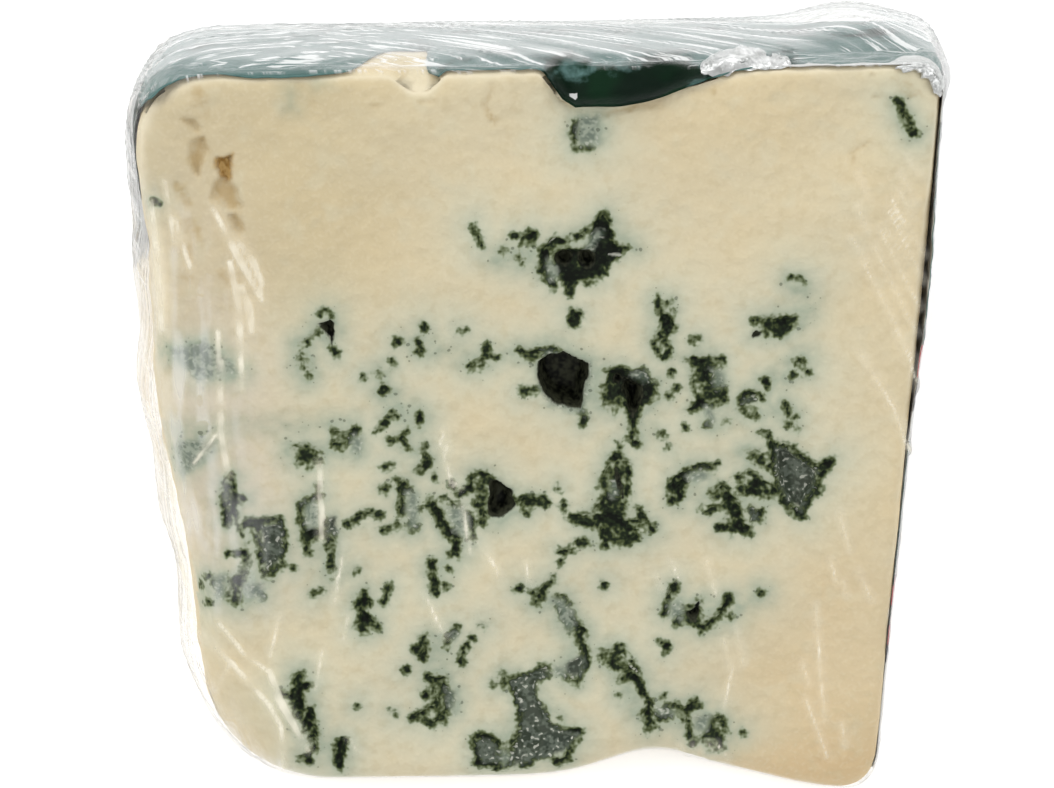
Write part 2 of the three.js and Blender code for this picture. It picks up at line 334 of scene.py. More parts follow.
TO_CAMERA = np.array([0, -math.cos(VIEW_ELEVATION), math.sin(VIEW_ELEVATION)])
VIEW_UP = np.array([0, math.sin(VIEW_ELEVATION), math.cos(VIEW_ELEVATION)])
CAMERA_PLACE = VIEW_TARGET + VIEW_DISTANCE * TO_CAMERA
PIXELS_PER_MM = FOCUS / VIEW_DISTANCE


def in_photo(points):
    """Where points of the wedge show in the photo, in its pixels."""
    away = points - CAMERA_PLACE
    depth = -away @ TO_CAMERA
    across = FOCUS * away[:, 0] / depth
    up = FOCUS * (away @ VIEW_UP) / depth
    turned_across = across * math.cos(VIEW_ROLL) - up * math.sin(VIEW_ROLL)
    turned_up = across * math.sin(VIEW_ROLL) + up * math.cos(VIEW_ROLL)
    return np.stack([PHOTO_WIDTH / 2 + turned_across, PHOTO_HEIGHT / 2 - turned_up], 1)


# ---------------------------------------------------------------- veins, read from the photo in its pixels


def line(*points):
    """A course of (x, y, half width)."""
    return ("line", np.array(points, float))


def dots(*points):
    """Round spots of (x, y, radius)."""
    return ("dots", np.array(points, float))


def patch(*points):
    """A closed outline of (x, y)."""
    return ("patch", np.array(points, float))


# How deep each kind of mark goes, in mm
DEPTHS = {"hole": 2.6, "black": 0.6, "green": 0.35, "dusty": 0.2, "grey": 0.5, "brown": 1.2, "tan": 0.25,
          "haze": 0, "pale": -0.1}
DEEPER = {("hole", "middle_hole"): 4.6, ("hole", "hole_beside_it"): 3.2, ("grey", "right_pocket"): 1.8,
          ("grey", "left_frame"): 0.9, ("tan", "corner_crack"): 0.8}

VEINS = {
    "hole": {
        "star": [
            dots((563.5, 259.4, 8.8)),
            patch((578, 253), (586, 250), (595, 255), (595, 266), (588, 271), (578, 268)),
        ],
        "middle_hole": [
            patch((538, 362), (549, 356), (561, 353), (575, 358), (589, 365), (588, 374), (586, 384),
                  (583, 397), (580, 410), (566, 408), (554, 404), (546, 397), (540, 388), (537, 375)),
        ],
        "hole_beside_it": [
            patch((623, 377), (632, 383), (643, 387), (642, 402), (632, 419), (626, 404), (622, 390)),
            dots((617, 381, 5)),
        ],
        "column": [line((616, 469, 1.6), (618, 479, 2.6), (619.5, 489, 2)),
                   line((621.6, 491, 1.2), (623, 499, 1.2))],
        "middle_left_hole": [
            patch((490, 482), (496, 480), (502, 483), (512, 490), (513, 498), (517, 507), (511, 511),
                  (499, 518), (494, 518), (489, 515), (488, 505), (490, 494)),
        ],
        "small_left_hole": [
            patch((317, 325), (326, 323), (331, 321), (334, 325), (333.5, 334), (333, 349), (329, 340),
                  (323, 331)),
        ],
        "lower_right_knot": [
            patch((684, 611), (690, 611), (694, 609), (696, 605), (698, 602), (700.5, 603), (699, 609),
                  (699, 614), (696.5, 618), (696, 624), (692, 622), (688, 617)),
        ],
        "right_spot": [dots((756, 335, 3.2)), line((753, 338, 1.2), (760, 334, 1.2))],
    },
    "black": {
        "star": [
            patch((605, 213), (608, 221), (611, 232), (613, 241), (619, 246), (628, 247), (617, 256),
                  (608, 264), (604, 270), (603, 276), (596, 281), (586, 284), (579, 281), (573, 287),
                  (571, 295), (567, 291), (566, 285), (562, 281), (556, 274), (553, 263), (556, 253),
                  (566, 249), (573, 251), (583, 250), (590, 247), (592, 235), (594, 224), (600, 216)),
            line((564, 243, 2), (557, 240, 2.5), (549, 244, 3), (544, 254, 3), (543, 266, 3),
                 (547, 277, 3), (554, 286, 2.5)),
            line((578, 238, 1.6), (586, 230, 1)),
        ],
        "by_the_star": [
            line((473.6, 226, 1), (477.4, 235.5, 1.9), (481.2, 246, 1.2)),
            line((521, 242, 1.5), (525, 238, 2.5), (533, 234, 2.5), (531, 241, 2)),
            dots((515, 237, 1.5), (502, 252, 1.1), (517.6, 259, 1.1), (522.4, 263, 1.1)),
            line((570, 319, 1.5), (576, 321, 3), (579, 315, 2.5), (571, 312, 1.2)),
        ],
        "upper_trunk": [
            patch((657, 302), (663, 314), (669, 316), (676, 329), (669, 331), (665, 333), (659, 331),
                  (660, 322)),
            line((659, 333, 1.5), (664, 343, 1.8), (667, 352, 1.8), (663, 360, 1)),
            line((657, 334, 1.3), (655, 344, 1.1), (657, 352, 1.5), (662, 358, 1)),
            dots((667, 302, 1.5), (659, 300, 1.6)),
        ],
        "small_v": [
            line((487, 347, 1.4), (483, 358, 1.2), (481, 367, 2.6)),
            line((475, 366, 1.1), (470, 368, 0.9)),
            line((488, 356, 0.8), (496, 358, 0.8)),
            dots((459, 330, 1.1), (462, 332, 1.1), (465, 331, 0.9)),
        ],
        "middle_hole": [
            line((519, 351, 1.2), (531, 355, 3), (542, 354, 2.8), (557, 350, 2.4)),
            line((521, 391, 1.3), (535, 390, 2)),
            line((581, 410, 1.6), (583, 423, 1)),
        ],
        "hole_beside_it": [
            patch((606, 371), (621, 368), (630, 373), (642, 371), (650, 375), (656, 387), (656, 394),
                  (648, 400), (640, 408), (634, 421), (630, 421), (625, 406), (616, 390), (606, 384)),
            line((632, 420, 2.4), (634, 430, 2.2), (633, 438, 1.8)),
            line((629, 438, 1.8), (636, 444, 2.2)),
            dots((618, 445, 1.8)),
        ],
        "right_patch": [
            line((700, 366, 3), (707, 373, 5), (708, 382, 4)),
            line((694, 360, 1.2), (708, 362, 2), (722, 361, 2)),
            line((694, 380, 1.2), (697, 394, 1.5), (702, 402, 3), (691, 410, 1.5)),
            line((724, 388, 1), (724, 398, 1.5), (712, 405, 1.8)),
            dots((709, 423, 1.3), (671, 373, 1.4), (669, 396, 1.2), (676, 387, 1.2), (694, 342, 1.2),
                 (698, 340, 1), (686, 426, 1.2), (726, 420, 1.3)),
        ],
        "right_specks": [
            patch((773, 318), (788, 317), (789, 328), (780, 335), (773, 331)),
            line((788, 321, 2), (796, 318, 1)),
            dots((753, 321, 1.5), (799, 362, 3), (804, 366, 2), (808, 372, 2.2), (793, 375, 1.2),
                 (791, 280, 1.6)),
            line((742, 400, 1.8), (748, 395, 2), (759, 395, 1.8), (762, 400, 1)),
            line((754, 409, 1.2), (741, 409, 1.4), (749, 416, 1.4), (756, 419, 1.1)),
            line((765, 381, 1.3), (767, 385, 1.5)),
            dots((785, 407, 1.3), (788, 413, 1.4), (794, 418, 1.5), (789, 424, 1.5)),
        ],
        "right_pocket": [
            line((762, 431, 1.5), (767, 437, 2), (771, 444, 2.5), (774, 452, 2.5), (774, 471, 1.6),
                 (777, 480, 1.5), (781, 494, 2), (786, 502, 2.5), (794, 510, 2.5), (803, 515, 2.5)),
            line((779, 443, 1.5), (783, 446, 2), (791, 450, 2.3), (798, 456, 2.3), (809, 464, 2.8),
                 (818, 468, 3), (827, 464, 2), (833, 460, 1)),
            line((825, 471, 1.5), (819, 478, 2.8), (815, 490, 2.8), (809, 498, 2.4), (805, 506, 2),
                 (803, 515, 1.5)),
            line((784, 464, 0.9), (788, 480, 1.4), (791, 495, 1)),
            line((771, 455, 1.2), (774, 460, 1.8), (772, 466, 2), (766, 467, 1.5)),
            line((750, 474, 1.4), (756, 474, 1.4)),
            dots((760, 487, 2.8), (765, 486, 3.6), (774, 492, 4), (740, 478, 2.8), (740, 490, 1.4),
                 (750, 492, 1.4), (763, 458, 1.4)),
        ],
        "right_trunk": [
            line((722, 487, 2), (727, 496, 3), (732, 505, 4.5), (735, 515, 5.5), (738, 525, 5.5),
                 (743, 531, 3.5)),
            line((711, 508, 1.1), (724, 507, 2)),
            line((721, 526, 1.8), (731, 531, 3.5)),
            dots((702, 506, 1.2), (708, 512, 1.3), (712, 492, 1.3), (717, 497, 1.5), (718, 488, 1.3),
                 (752, 512, 2.2), (754, 519, 2.2), (760, 514, 4)),
        ],
        "arch": [
            line((673, 502, 1.5), (672, 490, 1.8), (675, 479, 2), (681, 474, 2), (688, 471, 1.8),
                 (699, 467, 1.4), (707, 469, 1.7), (717, 465, 1.1)),
            patch((675, 495), (676, 484), (684, 479), (688, 483), (684, 492), (678, 499)),
            line((684, 490, 1.5), (678, 500, 1.2)),
        ],
        "column": [
            line((616, 456, 1.2), (622, 461, 1.5), (629, 467, 2), (629, 476, 1.5), (627, 487, 2),
                 (625, 500, 2)),
            line((616, 456, 1.2), (611, 464, 1.6), (606, 473, 2), (606, 487, 2.2), (605, 495, 2.4),
                 (601, 505, 2.4), (597, 512, 2)),
            dots((610, 497, 4.5), (602, 506, 2.5)),
            line((583, 522, 1.2), (597, 527, 2.2), (604, 532, 3), (603, 541, 2.2), (605, 547, 1)),
            line((611, 539, 1.5), (621, 538, 2.2), (629, 541, 2), (637, 536, 2.4)),
            line((568, 516, 1), (574, 521, 2), (578, 518, 2), (591, 518, 2.5), (600, 519, 4),
                 (612, 518, 5), (622, 524, 5), (630, 531, 3.5)),
            line((637, 509, 1), (642, 518, 2), (650, 524, 2), (653, 529, 1.1)),
            line((644, 526, 1.6), (636, 522, 2), (628, 524, 3)),
            dots((558, 489, 1.5), (563, 505, 2), (599, 490, 1.2), (581, 525, 1.2), (662, 434, 2),
                 (667, 448, 1.4), (579, 542, 1.6), (585, 542, 1.6), (561, 562, 1.3)),
            line((560, 551, 1.2), (565, 553, 2), (570, 551, 1.4)),
        ],
        "middle_left_hole": [
            line((459, 494, 1.4), (465, 491.5, 2), (474, 489.5, 2)),
            line((472, 487, 1), (470, 479, 1), (480, 474, 1.4), (490, 476, 1.6), (491, 483, 1.5)),
            line((475, 501, 1.4), (480, 508, 2.2), (484, 517, 2.6), (482, 522, 1.6)),
            line((513, 499, 0.8), (523, 507, 0.8)),
            line((524, 500, 2), (529, 503, 3.2), (536, 502, 3.2), (543, 499, 1.4)),
            dots((528, 513, 1.5), (546.5, 503, 1.3)),
        ],
        "small_left_hole": [
            line((333.5, 349, 1.2), (336, 354.5, 1.5)),
            line((320, 314, 1), (325.5, 309, 1.5), (331, 314, 0.8)),
            dots((308, 342, 1.3), (301.4, 362, 1.8), (308, 375, 1.3)),
        ],
        "middle_specks": [
            dots((424, 327.5, 2), (419, 343, 1.8), (421, 351, 2.4), (398, 341, 1.9), (396, 345, 1.1),
                 (391, 361, 1.7), (378, 373.7, 1.6), (363, 377.5, 1.8), (383.7, 389, 3), (394, 416, 1.7),
                 (388, 421, 1.1)),
            line((376, 432, 0.5), (388, 421, 0.7)),
            line((420, 415, 1.6), (418.5, 423, 1.4)),
            line((336, 432, 1.6), (344, 434.6, 2), (352, 434.6, 2.3), (356, 429, 1.3)),
            line((334, 444, 1.8), (341, 446, 2.3), (348, 441, 2.4), (350, 435, 1.8)),
            line((406, 431, 1), (401, 437, 1.3), (405, 443, 1.8), (408, 449, 1)),
            line((425, 448, 1.1), (425, 456, 1.7), (428, 464, 1.8), (418.6, 469.5, 1.4)),
            line((384, 467, 0.7), (392, 466.5, 0.8)),
            dots((392.5, 441, 1.5), (435, 478, 1.3), (297, 446, 1.6), (303, 463, 2), (312, 458, 1.5),
                 (320, 461, 1.4)),
        ],
        "left_lines": [
            line((398, 482, 1), (404, 484, 1.3), (402, 491, 1.4), (403, 503, 1.9), (402, 516, 1)),
            dots((410, 524, 1.5), (413, 530, 1.4), (417, 527, 1.3), (420, 510, 1.2), (409, 490, 1.2),
                 (397, 526, 1.3), (381, 515, 1.2)),
            line((383, 490, 0.9), (389, 489, 1)),
            line((383, 530, 1.2), (389, 528, 0.9)),
            line((355.5, 520.5, 1.4), (362, 516, 2.4), (368, 515.7, 1.8), (378, 515.7, 1.3)),
            line((430, 501, 1), (434, 506, 2.2), (438, 513, 2.8), (441, 520, 3), (446, 528, 3.4),
                 (452, 537, 3), (455, 544, 1.8)),
            line((456, 530, 1.8), (457, 539, 1.8)),
            line((456, 544, 1.4), (456, 552, 1.8), (459, 557, 1)),
            line((468, 513, 0.9), (471, 524, 1.3), (474, 536, 0.9)),
            line((452, 505, 0.8), (458, 506, 1)),
            dots((441, 499, 1.2), (453, 485, 1.2), (450, 555, 1.5)),
            line((432, 562, 1.4), (433, 568, 2.4), (432, 577, 2.4), (434, 585, 2.6), (435.5, 592, 2)),
            dots((445, 588, 1.4), (450, 569.5, 1.1)),
        ],
        "left_column": [
            line((231, 476, 1), (232.5, 490, 1.6), (233, 505, 1.6), (236, 521, 1.2)),
            line((227, 486, 1.2), (224, 500, 1.4), (225, 520, 1.8)),
            dots((242, 500.6, 2.2), (229, 513, 2.4), (228, 494, 1.6), (230, 484, 1.6)),
        ],
        "left_frame": [
            line((245, 525, 1.4), (252, 521, 1.7), (263, 521, 1.7), (279, 521, 1.8), (282, 532, 1.8),
                 (284, 544, 1.8), (281, 554, 1.8), (281, 564, 2), (274, 568, 2.2), (265, 574.5, 1.8)),
            line((258, 530, 1.3), (260, 549, 1.9), (264, 574, 1.9)),
            line((228, 554, 1.4), (244, 554, 1.7)),
            line((246, 556, 1.1), (245, 561, 1.1), (248.5, 564, 1.1)),
            dots((271.5, 541, 1.9), (282, 545, 2.3), (277, 555, 1.4), (239, 529, 1.1), (241, 536, 1),
                 (247, 545, 1)),
        ],
        "left_core": [
            line((243, 572, 2.5), (238, 582, 4), (235, 592, 4.4), (234, 600, 2.6)),
            dots((208, 576, 1.5), (198, 588, 1.5), (213, 584, 1.5), (208, 602, 1.2)),
            line((254, 590, 0.9), (264, 596, 0.9)),
        ],
        "left_trunk": [
            dots((318, 486, 1.5), (294, 568, 1.5), (347, 524, 1.2)),
            line((319, 496, 1.4), (310, 502, 1.9), (302, 508, 1.9), (301, 517, 1.7), (304, 527, 1.7),
                 (305, 544, 1.4), (308, 553, 0.9)),
            patch((305, 531), (320, 530), (319, 539), (306, 539)),
            line((325.5, 520, 0.9), (326, 534, 1.1), (328, 548, 1.5)),
            line((331, 549, 1.1), (333, 578, 0.9)),
            line((321, 590, 1.4), (314, 594, 0.8)),
        ],
        "knot": [
            patch((362, 590), (366, 595), (370, 602), (366, 611), (372, 618), (378, 628), (372, 625),
                  (364, 631), (357, 628), (359, 618), (360, 608), (354, 608), (360, 599)),
            line((390, 585, 1.3), (384, 602, 1.4)),
            dots((383, 603, 1.8), (356, 572, 1.4), (406, 669, 1.9)),
            line((425, 638, 1.9), (424, 647, 2.1), (423, 659, 1.8)),
            line((414, 649, 1.1), (423, 648, 1.4)),
        ],
        "upper_hook": [
            line((456.7, 630, 1.7), (452.4, 634, 2), (447.3, 641, 1.8), (446.5, 646, 0.9)),
            line((467.6, 643, 1), (463.3, 650, 1.7), (461.8, 656, 1.4), (461.8, 662, 0.8)),
            dots((472, 638.5, 1.2)),
        ],
        "hook": [
            line((427, 678, 1.4), (434, 681, 2.4), (442, 680, 3), (444, 688, 2.2), (449, 698, 3.2),
                 (448, 706, 3), (444, 714, 2.2), (442, 720, 1.7), (431, 724, 1.3)),
            line((434, 686, 1.4), (433, 692, 1.1), (437, 700, 1.5), (439, 710, 1.5)),
            line((413, 719, 1.1), (423, 713, 2.2), (433, 708, 1.4)),
            dots((426, 695, 1.9), (426, 721, 1.2), (395, 713, 1.1), (357, 706, 1)),
        ],
        "lower_trunk": [
            line((303, 673, 1.5), (298, 676, 2.4), (297, 682, 3.2), (302, 688, 2.4), (309, 685, 1.4)),
            line((283, 695, 1.1), (292, 700, 2.3), (296, 691, 2.8)),
            line((299, 688, 2.8), (299, 700, 3.6), (298, 714, 4)),
            line((309, 711, 3), (309, 723, 4), (312, 734, 4), (314, 748, 2.8)),
            line((308, 755, 1.8), (300, 758, 1.6)),
            dots((309, 761, 1.8)),
            line((344, 741, 2.4), (340, 746, 3.6), (340, 754, 3.4), (340, 764, 2.2)),
        ],
        "inner_trunk": [
            line((549, 581, 1.5), (541, 591, 3), (536, 603, 1.8)),
            line((533, 593, 1.4), (534, 600, 1.4)),
            dots((519.3, 590.5, 1.8), (603.5, 584, 1.8)),
            line((558, 596, 1.1), (566, 599, 1.7), (568, 605, 1.4)),
            line((569, 615, 1.7), (574, 622.5, 2), (577, 628, 3), (583, 631, 3), (582, 637, 2.4),
                 (581, 644, 2), (585, 649, 2.4), (584, 655, 2.4), (587.5, 660, 2), (584, 668, 1.3)),
            line((556, 607, 1), (562, 614, 1.4), (567, 624, 1.1), (571, 634, 0.9)),
            line((562, 675, 1), (571, 681, 1.4), (578, 683, 1.4), (581, 675, 1)),
            line((503, 675, 1.2), (506, 681, 1.4), (501, 685, 1), (494.5, 684, 1.4)),
        ],
        "bottom_spread": [
            line((548, 668, 1.4), (541, 669, 1.6), (534, 673, 1.4), (527, 677, 1.4), (518, 679, 2.2),
                 (512, 681, 1.8), (517, 691, 2.4), (521, 700, 2.5), (523, 707, 2.5), (521, 717, 2.5),
                 (520.5, 724, 2), (519, 734, 2.2), (517, 743, 2.5), (512.7, 750, 2), (512.7, 760, 2),
                 (508, 766, 1.4)),
            line((546, 675, 1), (541, 678, 1.2), (536, 682, 1.2), (533, 686.5, 1)),
            line((533, 686.5, 0.7), (539, 705, 1.1), (543, 714, 1.2), (549, 723, 1.1), (555, 729, 1.2),
                 (561, 733, 1.1), (568, 733, 1.5), (574, 730, 1.5), (580, 732, 1)),
            line((579.6, 740, 0.8), (572, 744.7, 1.1), (568, 750.5, 1.7), (566.5, 757.7, 1.7),
                 (559, 761, 1.4), (555, 757.7, 1.1)),
            line((549, 755, 1), (540, 755.6, 1.7), (533, 759, 1.7), (527, 763.6, 1.4), (521.4, 765, 1.1)),
            line((527, 730, 1.2), (534, 733, 1.6), (538, 741, 1.4)),
            dots((560, 719, 1)),
        ],
        "bottom_ring": [
            line((476, 739, 2), (484, 736.6, 2), (491, 738, 2.8), (496.7, 742, 2.4), (498, 750.5, 1.7),
                 (500, 760.6, 2.1), (498, 768, 2.4), (492, 765, 2.4), (484, 763.6, 1.4), (478, 762, 2.4),
                 (478.5, 755, 1.1), (475.6, 747.6, 1.7), (476, 739, 2)),
        ],
        "bottom_right_trunk": [
            line((619, 646, 1.1), (623, 650, 1.4), (619, 654.5, 1.1), (615, 650, 0.9), (619, 646, 1.1)),
            line((605, 652, 1.4), (609, 655.7, 1.1), (605, 660, 1), (601, 656, 1.4), (605, 652, 1.4)),
            line((612, 662.4, 1.3), (616, 666.4, 1.3), (624, 669, 1.8), (630, 672, 2.6), (631, 676, 4)),
            line((619, 680, 1.1), (627, 677, 2.6), (632, 677, 4.2), (636, 680, 3), (640, 688, 2),
                 (644, 694.5, 1.9), (648, 700, 1.9), (649.6, 707, 2.4), (647, 714, 3.4), (649, 722, 2.4),
                 (649, 731, 1.8)),
            line((632, 661, 0.7), (640.5, 673, 0.8)),
            line((655, 713, 1.1), (659, 717, 1.7), (665.7, 717, 1.8), (671, 716, 1)),
            line((667, 709, 1.7), (674, 707, 2), (680, 708, 2), (686, 712, 1.9), (691, 706.6, 2),
                 (696.5, 702.6, 1.9), (698, 704, 0.9)),
            line((684.5, 713, 1.2), (687, 721, 1.6), (691, 729, 2), (690, 735, 2), (694, 742.7, 1.2)),
            line((718, 716, 1.1), (722, 722.7, 1.7), (724.6, 731, 1.7), (726, 737, 1.2)),
            line((722, 738, 1.2), (719.5, 746, 3)),
            dots((743.4, 732.7, 1.7), (620, 696, 1.3), (664, 696, 1.1), (666.4, 646, 2.6), (661, 643, 0.9),
                 (664.5, 651, 1.1)),
        ],
        "lower_right_knot": [
            line((675.8, 585, 2.1), (672.4, 593, 2.7), (669.7, 598, 1.9)),
            line((667, 605, 1.4), (665.7, 611.5, 2.1), (663.7, 615.5, 1.7)),
            line((679, 617, 2.2), (676.4, 623.6, 1.3)),
            line((695.8, 623.6, 2), (701, 629, 2.2), (707, 626, 2.4), (714, 621, 2.4), (720.6, 614, 2.7),
                 (724.6, 609, 2.9), (728.7, 601, 2.4), (729.3, 597, 1)),
            line((725, 609, 1.9), (728.7, 618, 1.2)),
            dots((761.5, 592, 1.8)),
        ],
        "edges": [
            dots((154, 203, 2.3)),
            line((578, 122, 1.1), (574, 135, 1.4), (575, 148, 1.7), (589, 148, 1.1)),
            line((898, 102, 1), (902, 112, 1.6), (909, 124, 2.4), (915, 133, 2)),
        ],
    },
    "green": {
        "star": [patch((598, 249), (611, 250), (606, 268), (601, 280), (590, 284), (586, 273), (594, 265))],
        "by_the_star": [patch((568, 311), (580, 312), (578, 323), (569, 321))],
        "hole_beside_it": [patch((601, 384), (608, 372), (620, 392), (624, 406), (613, 415), (603, 404))],
        "upper_trunk": [patch((656, 338), (664, 342), (664, 354), (657, 352)),
                        line((671, 303, 2), (673, 316, 1))],
        "right_patch": [
            patch((683, 362), (692, 358), (716, 357), (724, 362), (716, 372), (725, 388), (724, 398),
                  (715, 404), (698, 413), (687, 411), (698, 403), (693, 380), (691, 370)),
        ],
        "right_specks": [
            patch((760, 318), (773, 315), (776, 331), (764, 337)),
            line((792, 281, 2), (803, 282, 2)),
            line((786, 405, 2), (790, 418, 4), (795, 429, 2)),
            patch((744, 397), (760, 396), (756, 408), (743, 408)),
        ],
        "right_pocket": [
            patch((746, 451), (759, 450), (770, 466), (760, 470)),
            patch((742, 477), (760, 476), (778, 490), (772, 500), (752, 497)),
        ],
        "right_trunk": [
            patch((713, 489), (724, 486), (733, 500), (742, 520), (751, 528), (750, 536), (724, 531),
                  (726, 510)),
            line((753, 509, 4), (755, 520, 4), (762, 515, 4)),
        ],
        "column": [
            patch((616, 457), (629, 467), (627, 490), (625, 506), (630, 527), (640, 532), (636, 542),
                  (606, 545), (600, 530), (584, 523), (598, 511), (606, 490), (606, 472)),
            line((636, 512, 3), (648, 525, 3)),
        ],
        "arch": [line((680, 480, 3), (678, 492, 3))],
        "middle_left_hole": [patch((472, 476), (491, 476), (490, 500), (484, 516), (474, 500))],
        "small_left_hole": [
            line((318, 330, 1.5), (308, 341, 2.6), (303, 344, 2.2)),
            line((302, 350, 1), (301, 362, 2.6), (309, 375, 2)),
            line((320, 313, 2.4), (328, 311, 2.4)),
        ],
        "middle_specks": [
            line((418, 341, 3), (421, 351, 4)),
            dots((483, 364, 4), (384, 389, 4.4), (392, 362, 2.6), (420, 419, 3), (394, 417, 2.6)),
            patch((336, 432), (353, 432), (350, 444), (336, 446)),
            line((403, 434, 2.4), (407, 446, 2.8)),
            line((425, 450, 2), (427, 464, 2.6)),
            patch((292, 446), (306, 443), (322, 455), (318, 468), (298, 468)),
        ],
        "left_lines": [
            line((404, 490, 2.4), (404, 514, 2.4)),
            line((434, 506, 3), (446, 530, 4.6), (456, 543, 3.4)),
            line((433, 565, 3), (434, 590, 3.4)),
            line((358, 519, 2.6), (372, 517, 2.2)),
        ],
        "left_column": [patch((222, 486), (227, 477), (233, 478), (235, 508), (237, 521), (228, 527),
                              (223, 520))],
        "left_frame": [patch((244, 523), (264, 519), (264, 533), (256, 535), (250, 530))],
        "left_core": [patch((246, 570), (243, 586), (240, 603), (227, 602), (224, 594), (230, 580))],
        "left_trunk": [
            line((303, 510, 3), (303, 530, 3)),
            patch((305, 530), (321, 529), (320, 540), (306, 541)),
            line((330, 536, 4), (331, 547, 4)),
        ],
        "knot": [line((364, 594, 5), (364, 610, 5), (365, 628, 6)), line((424, 640, 2.8), (423, 658, 2.8))],
        "hook": [
            line((456, 630, 3), (449, 641, 3)),
            line((464, 648, 2.6), (462, 660, 1.8)),
            line((436, 681, 3), (447, 700, 5.5), (442, 716, 4)),
            dots((482, 626, 2.6)),
        ],
        "lower_trunk": [
            line((300, 676, 5), (299, 700, 5), (299, 714, 5)),
            line((309, 712, 5), (311, 732, 6), (314, 750, 4)),
            line((343, 742, 4), (339, 754, 5), (339, 765, 3)),
        ],
        "inner_trunk": [line((552, 578, 1.6), (545, 587, 3.6), (536, 601, 3)),
                        line((578, 630, 4), (585, 656, 3.4))],
        "bottom_spread": [patch((520, 727), (536, 723), (543, 736), (541, 748), (528, 752), (518, 748))],
        "bottom_ring": [line((504, 745, 2), (508, 753, 3), (504, 762, 2.6))],
        "bottom_right_trunk": [
            patch((600, 650), (612, 650), (624, 647), (624, 656), (634, 668), (626, 678), (608, 664)),
            line((631, 676, 5.5), (641, 690, 3.4), (649, 704, 3.4), (647, 716, 5.6), (649, 728, 2.6)),
            line((666, 711, 3), (684, 711, 3.4), (696, 704, 2.6)),
            patch((683, 720), (690, 722), (698, 744), (686, 736)),
            patch((708, 719), (717, 716), (724, 732), (722, 748), (714, 750), (702, 743), (704, 730)),
        ],
        "lower_right_knot": [
            patch((682, 608), (694, 604), (702, 600), (703, 616), (698, 626), (686, 621), (677, 622)),
            line((702, 629, 3), (722, 614, 4), (729, 600, 3)),
            line((674, 588, 3.4), (669, 600, 3.4)),
        ],
        "edges": [line((901, 108, 0.8), (905, 118, 1.4), (912, 130, 2.8))],
    },
    "dusty": {
        "star": [line((588, 250, 2.6), (592, 241, 3.2), (599, 237, 2.6)),
                 line((550, 264, 3), (553, 277, 3.4))],
        "middle_hole": [
            line((545, 356, 2), (556, 356, 2)),
            line((589, 364, 1), (588, 384, 1.4), (581, 411, 1.6), (566, 409, 1), (550, 402, 1),
                 (539, 386, 1)),
        ],
        "hole_beside_it": [patch((632, 375), (646, 374), (652, 383), (640, 382))],
        "right_patch": [patch((713, 371), (719, 370), (725, 384), (716, 388)),
                        line((709, 411, 2.6), (713, 420, 3))],
        "arch": [line((692, 478, 3.6), (703, 476, 4))],
        "column": [line((614, 486, 2.6), (614, 493, 2.8))],
        "left_lines": [patch((449, 509), (464, 507), (466, 532), (456, 530)),
                       line((412, 497, 4), (413, 524, 4))],
        "left_core": [patch((214, 578), (225, 577), (224, 596), (215, 595)),
                      patch((245, 586), (264, 584), (264, 598), (247, 597))],
        "left_soft": [patch((178, 443), (216, 441), (204, 459), (185, 473)),
                      patch((172, 350), (206, 342), (238, 372), (198, 382))],
        "left_trunk": [patch((305, 505), (317, 503), (317, 527), (307, 526)),
                       patch((350, 438), (361, 440), (360, 455), (352, 450))],
        "hook": [patch((448, 690), (455, 694), (454, 712), (449, 708)),
                 patch((449, 637), (455, 633), (460, 634), (453, 641))],
        "inner_trunk": [
            patch((551, 599), (565, 601), (571, 614), (574, 624), (570, 634), (565, 627), (558, 610)),
            patch((555, 668), (564, 668), (564, 677), (556, 676)),
        ],
        "bottom_spread": [
            patch((545, 737), (560, 734), (573, 738), (566, 746), (552, 753), (541, 750)),
            patch((500, 752), (512, 756), (508, 764), (501, 762)),
        ],
        "bottom_right_trunk": [line((659, 711, 2), (672, 713, 2)),
                               patch((696, 718), (709, 717), (704, 730), (697, 730))],
        "lower_right_knot": [patch((670, 606), (680, 604), (683, 612), (680, 619), (670, 617))],
        "rim_notch": [patch((580, 118), (597, 117), (598, 143), (579, 145))],
    },
    "grey": {
        "right_pocket": [
            patch((776, 449), (785, 449), (796, 458), (808, 466), (818, 471), (816, 480), (812, 492),
                  (805, 501), (802, 511), (792, 506), (783, 494), (777, 474)),
        ],
        "left_frame": [patch((263, 529), (280, 524), (282, 545), (278, 565), (267, 570), (262, 549))],
        "left_trunk": [patch((327, 519), (335, 518), (337, 532), (328, 535))],
        "inner_trunk": [patch((567, 664), (575, 659), (582, 655), (584, 664), (580, 677), (572, 679),
                              (566, 673))],
        "bottom_spread": [
            patch((547, 668), (535, 673), (512, 682), (518, 692), (523, 707), (520, 728), (517, 744),
                  (512, 758), (514, 766), (534, 759), (556, 755), (572, 744), (578, 736), (560, 733),
                  (548, 722), (540, 706), (534, 687), (541, 678), (548, 674)),
        ],
        "bottom_ring": [patch((479, 741), (490, 741), (495, 748), (497, 762), (484, 761), (480, 752))],
        "small_fills": [line((752, 513, 3), (754, 518, 3)), line((747, 402, 3), (754, 402, 3))],
    },
    "brown": {
        "corner_crack": [
            patch((216, 158), (224, 159), (232, 155), (232, 168), (231, 180), (226, 185), (219, 178),
                  (216, 168)),
        ],
    },
    # Tan: a painted shade in the corner crack's hollows and in crags near the rim, partly the paste's own
    # brown
    "tan": {
        "corner_crack": [
            patch((218, 178), (229, 178), (237, 190), (243, 205), (238, 214), (224, 210), (210, 198),
                  (214, 187)),
            patch((228, 214), (237, 215), (244, 229), (240, 238), (233, 230)),
            patch((191, 143), (204, 136), (208, 150), (202, 163), (200, 178), (193, 173), (189, 157)),
            patch((182, 121), (195, 119), (201, 128), (198, 135)),
        ],
        "smears_and_shadows": [
            line((622, 111, 1.5), (643, 107, 2.4), (662, 106, 1.4)),
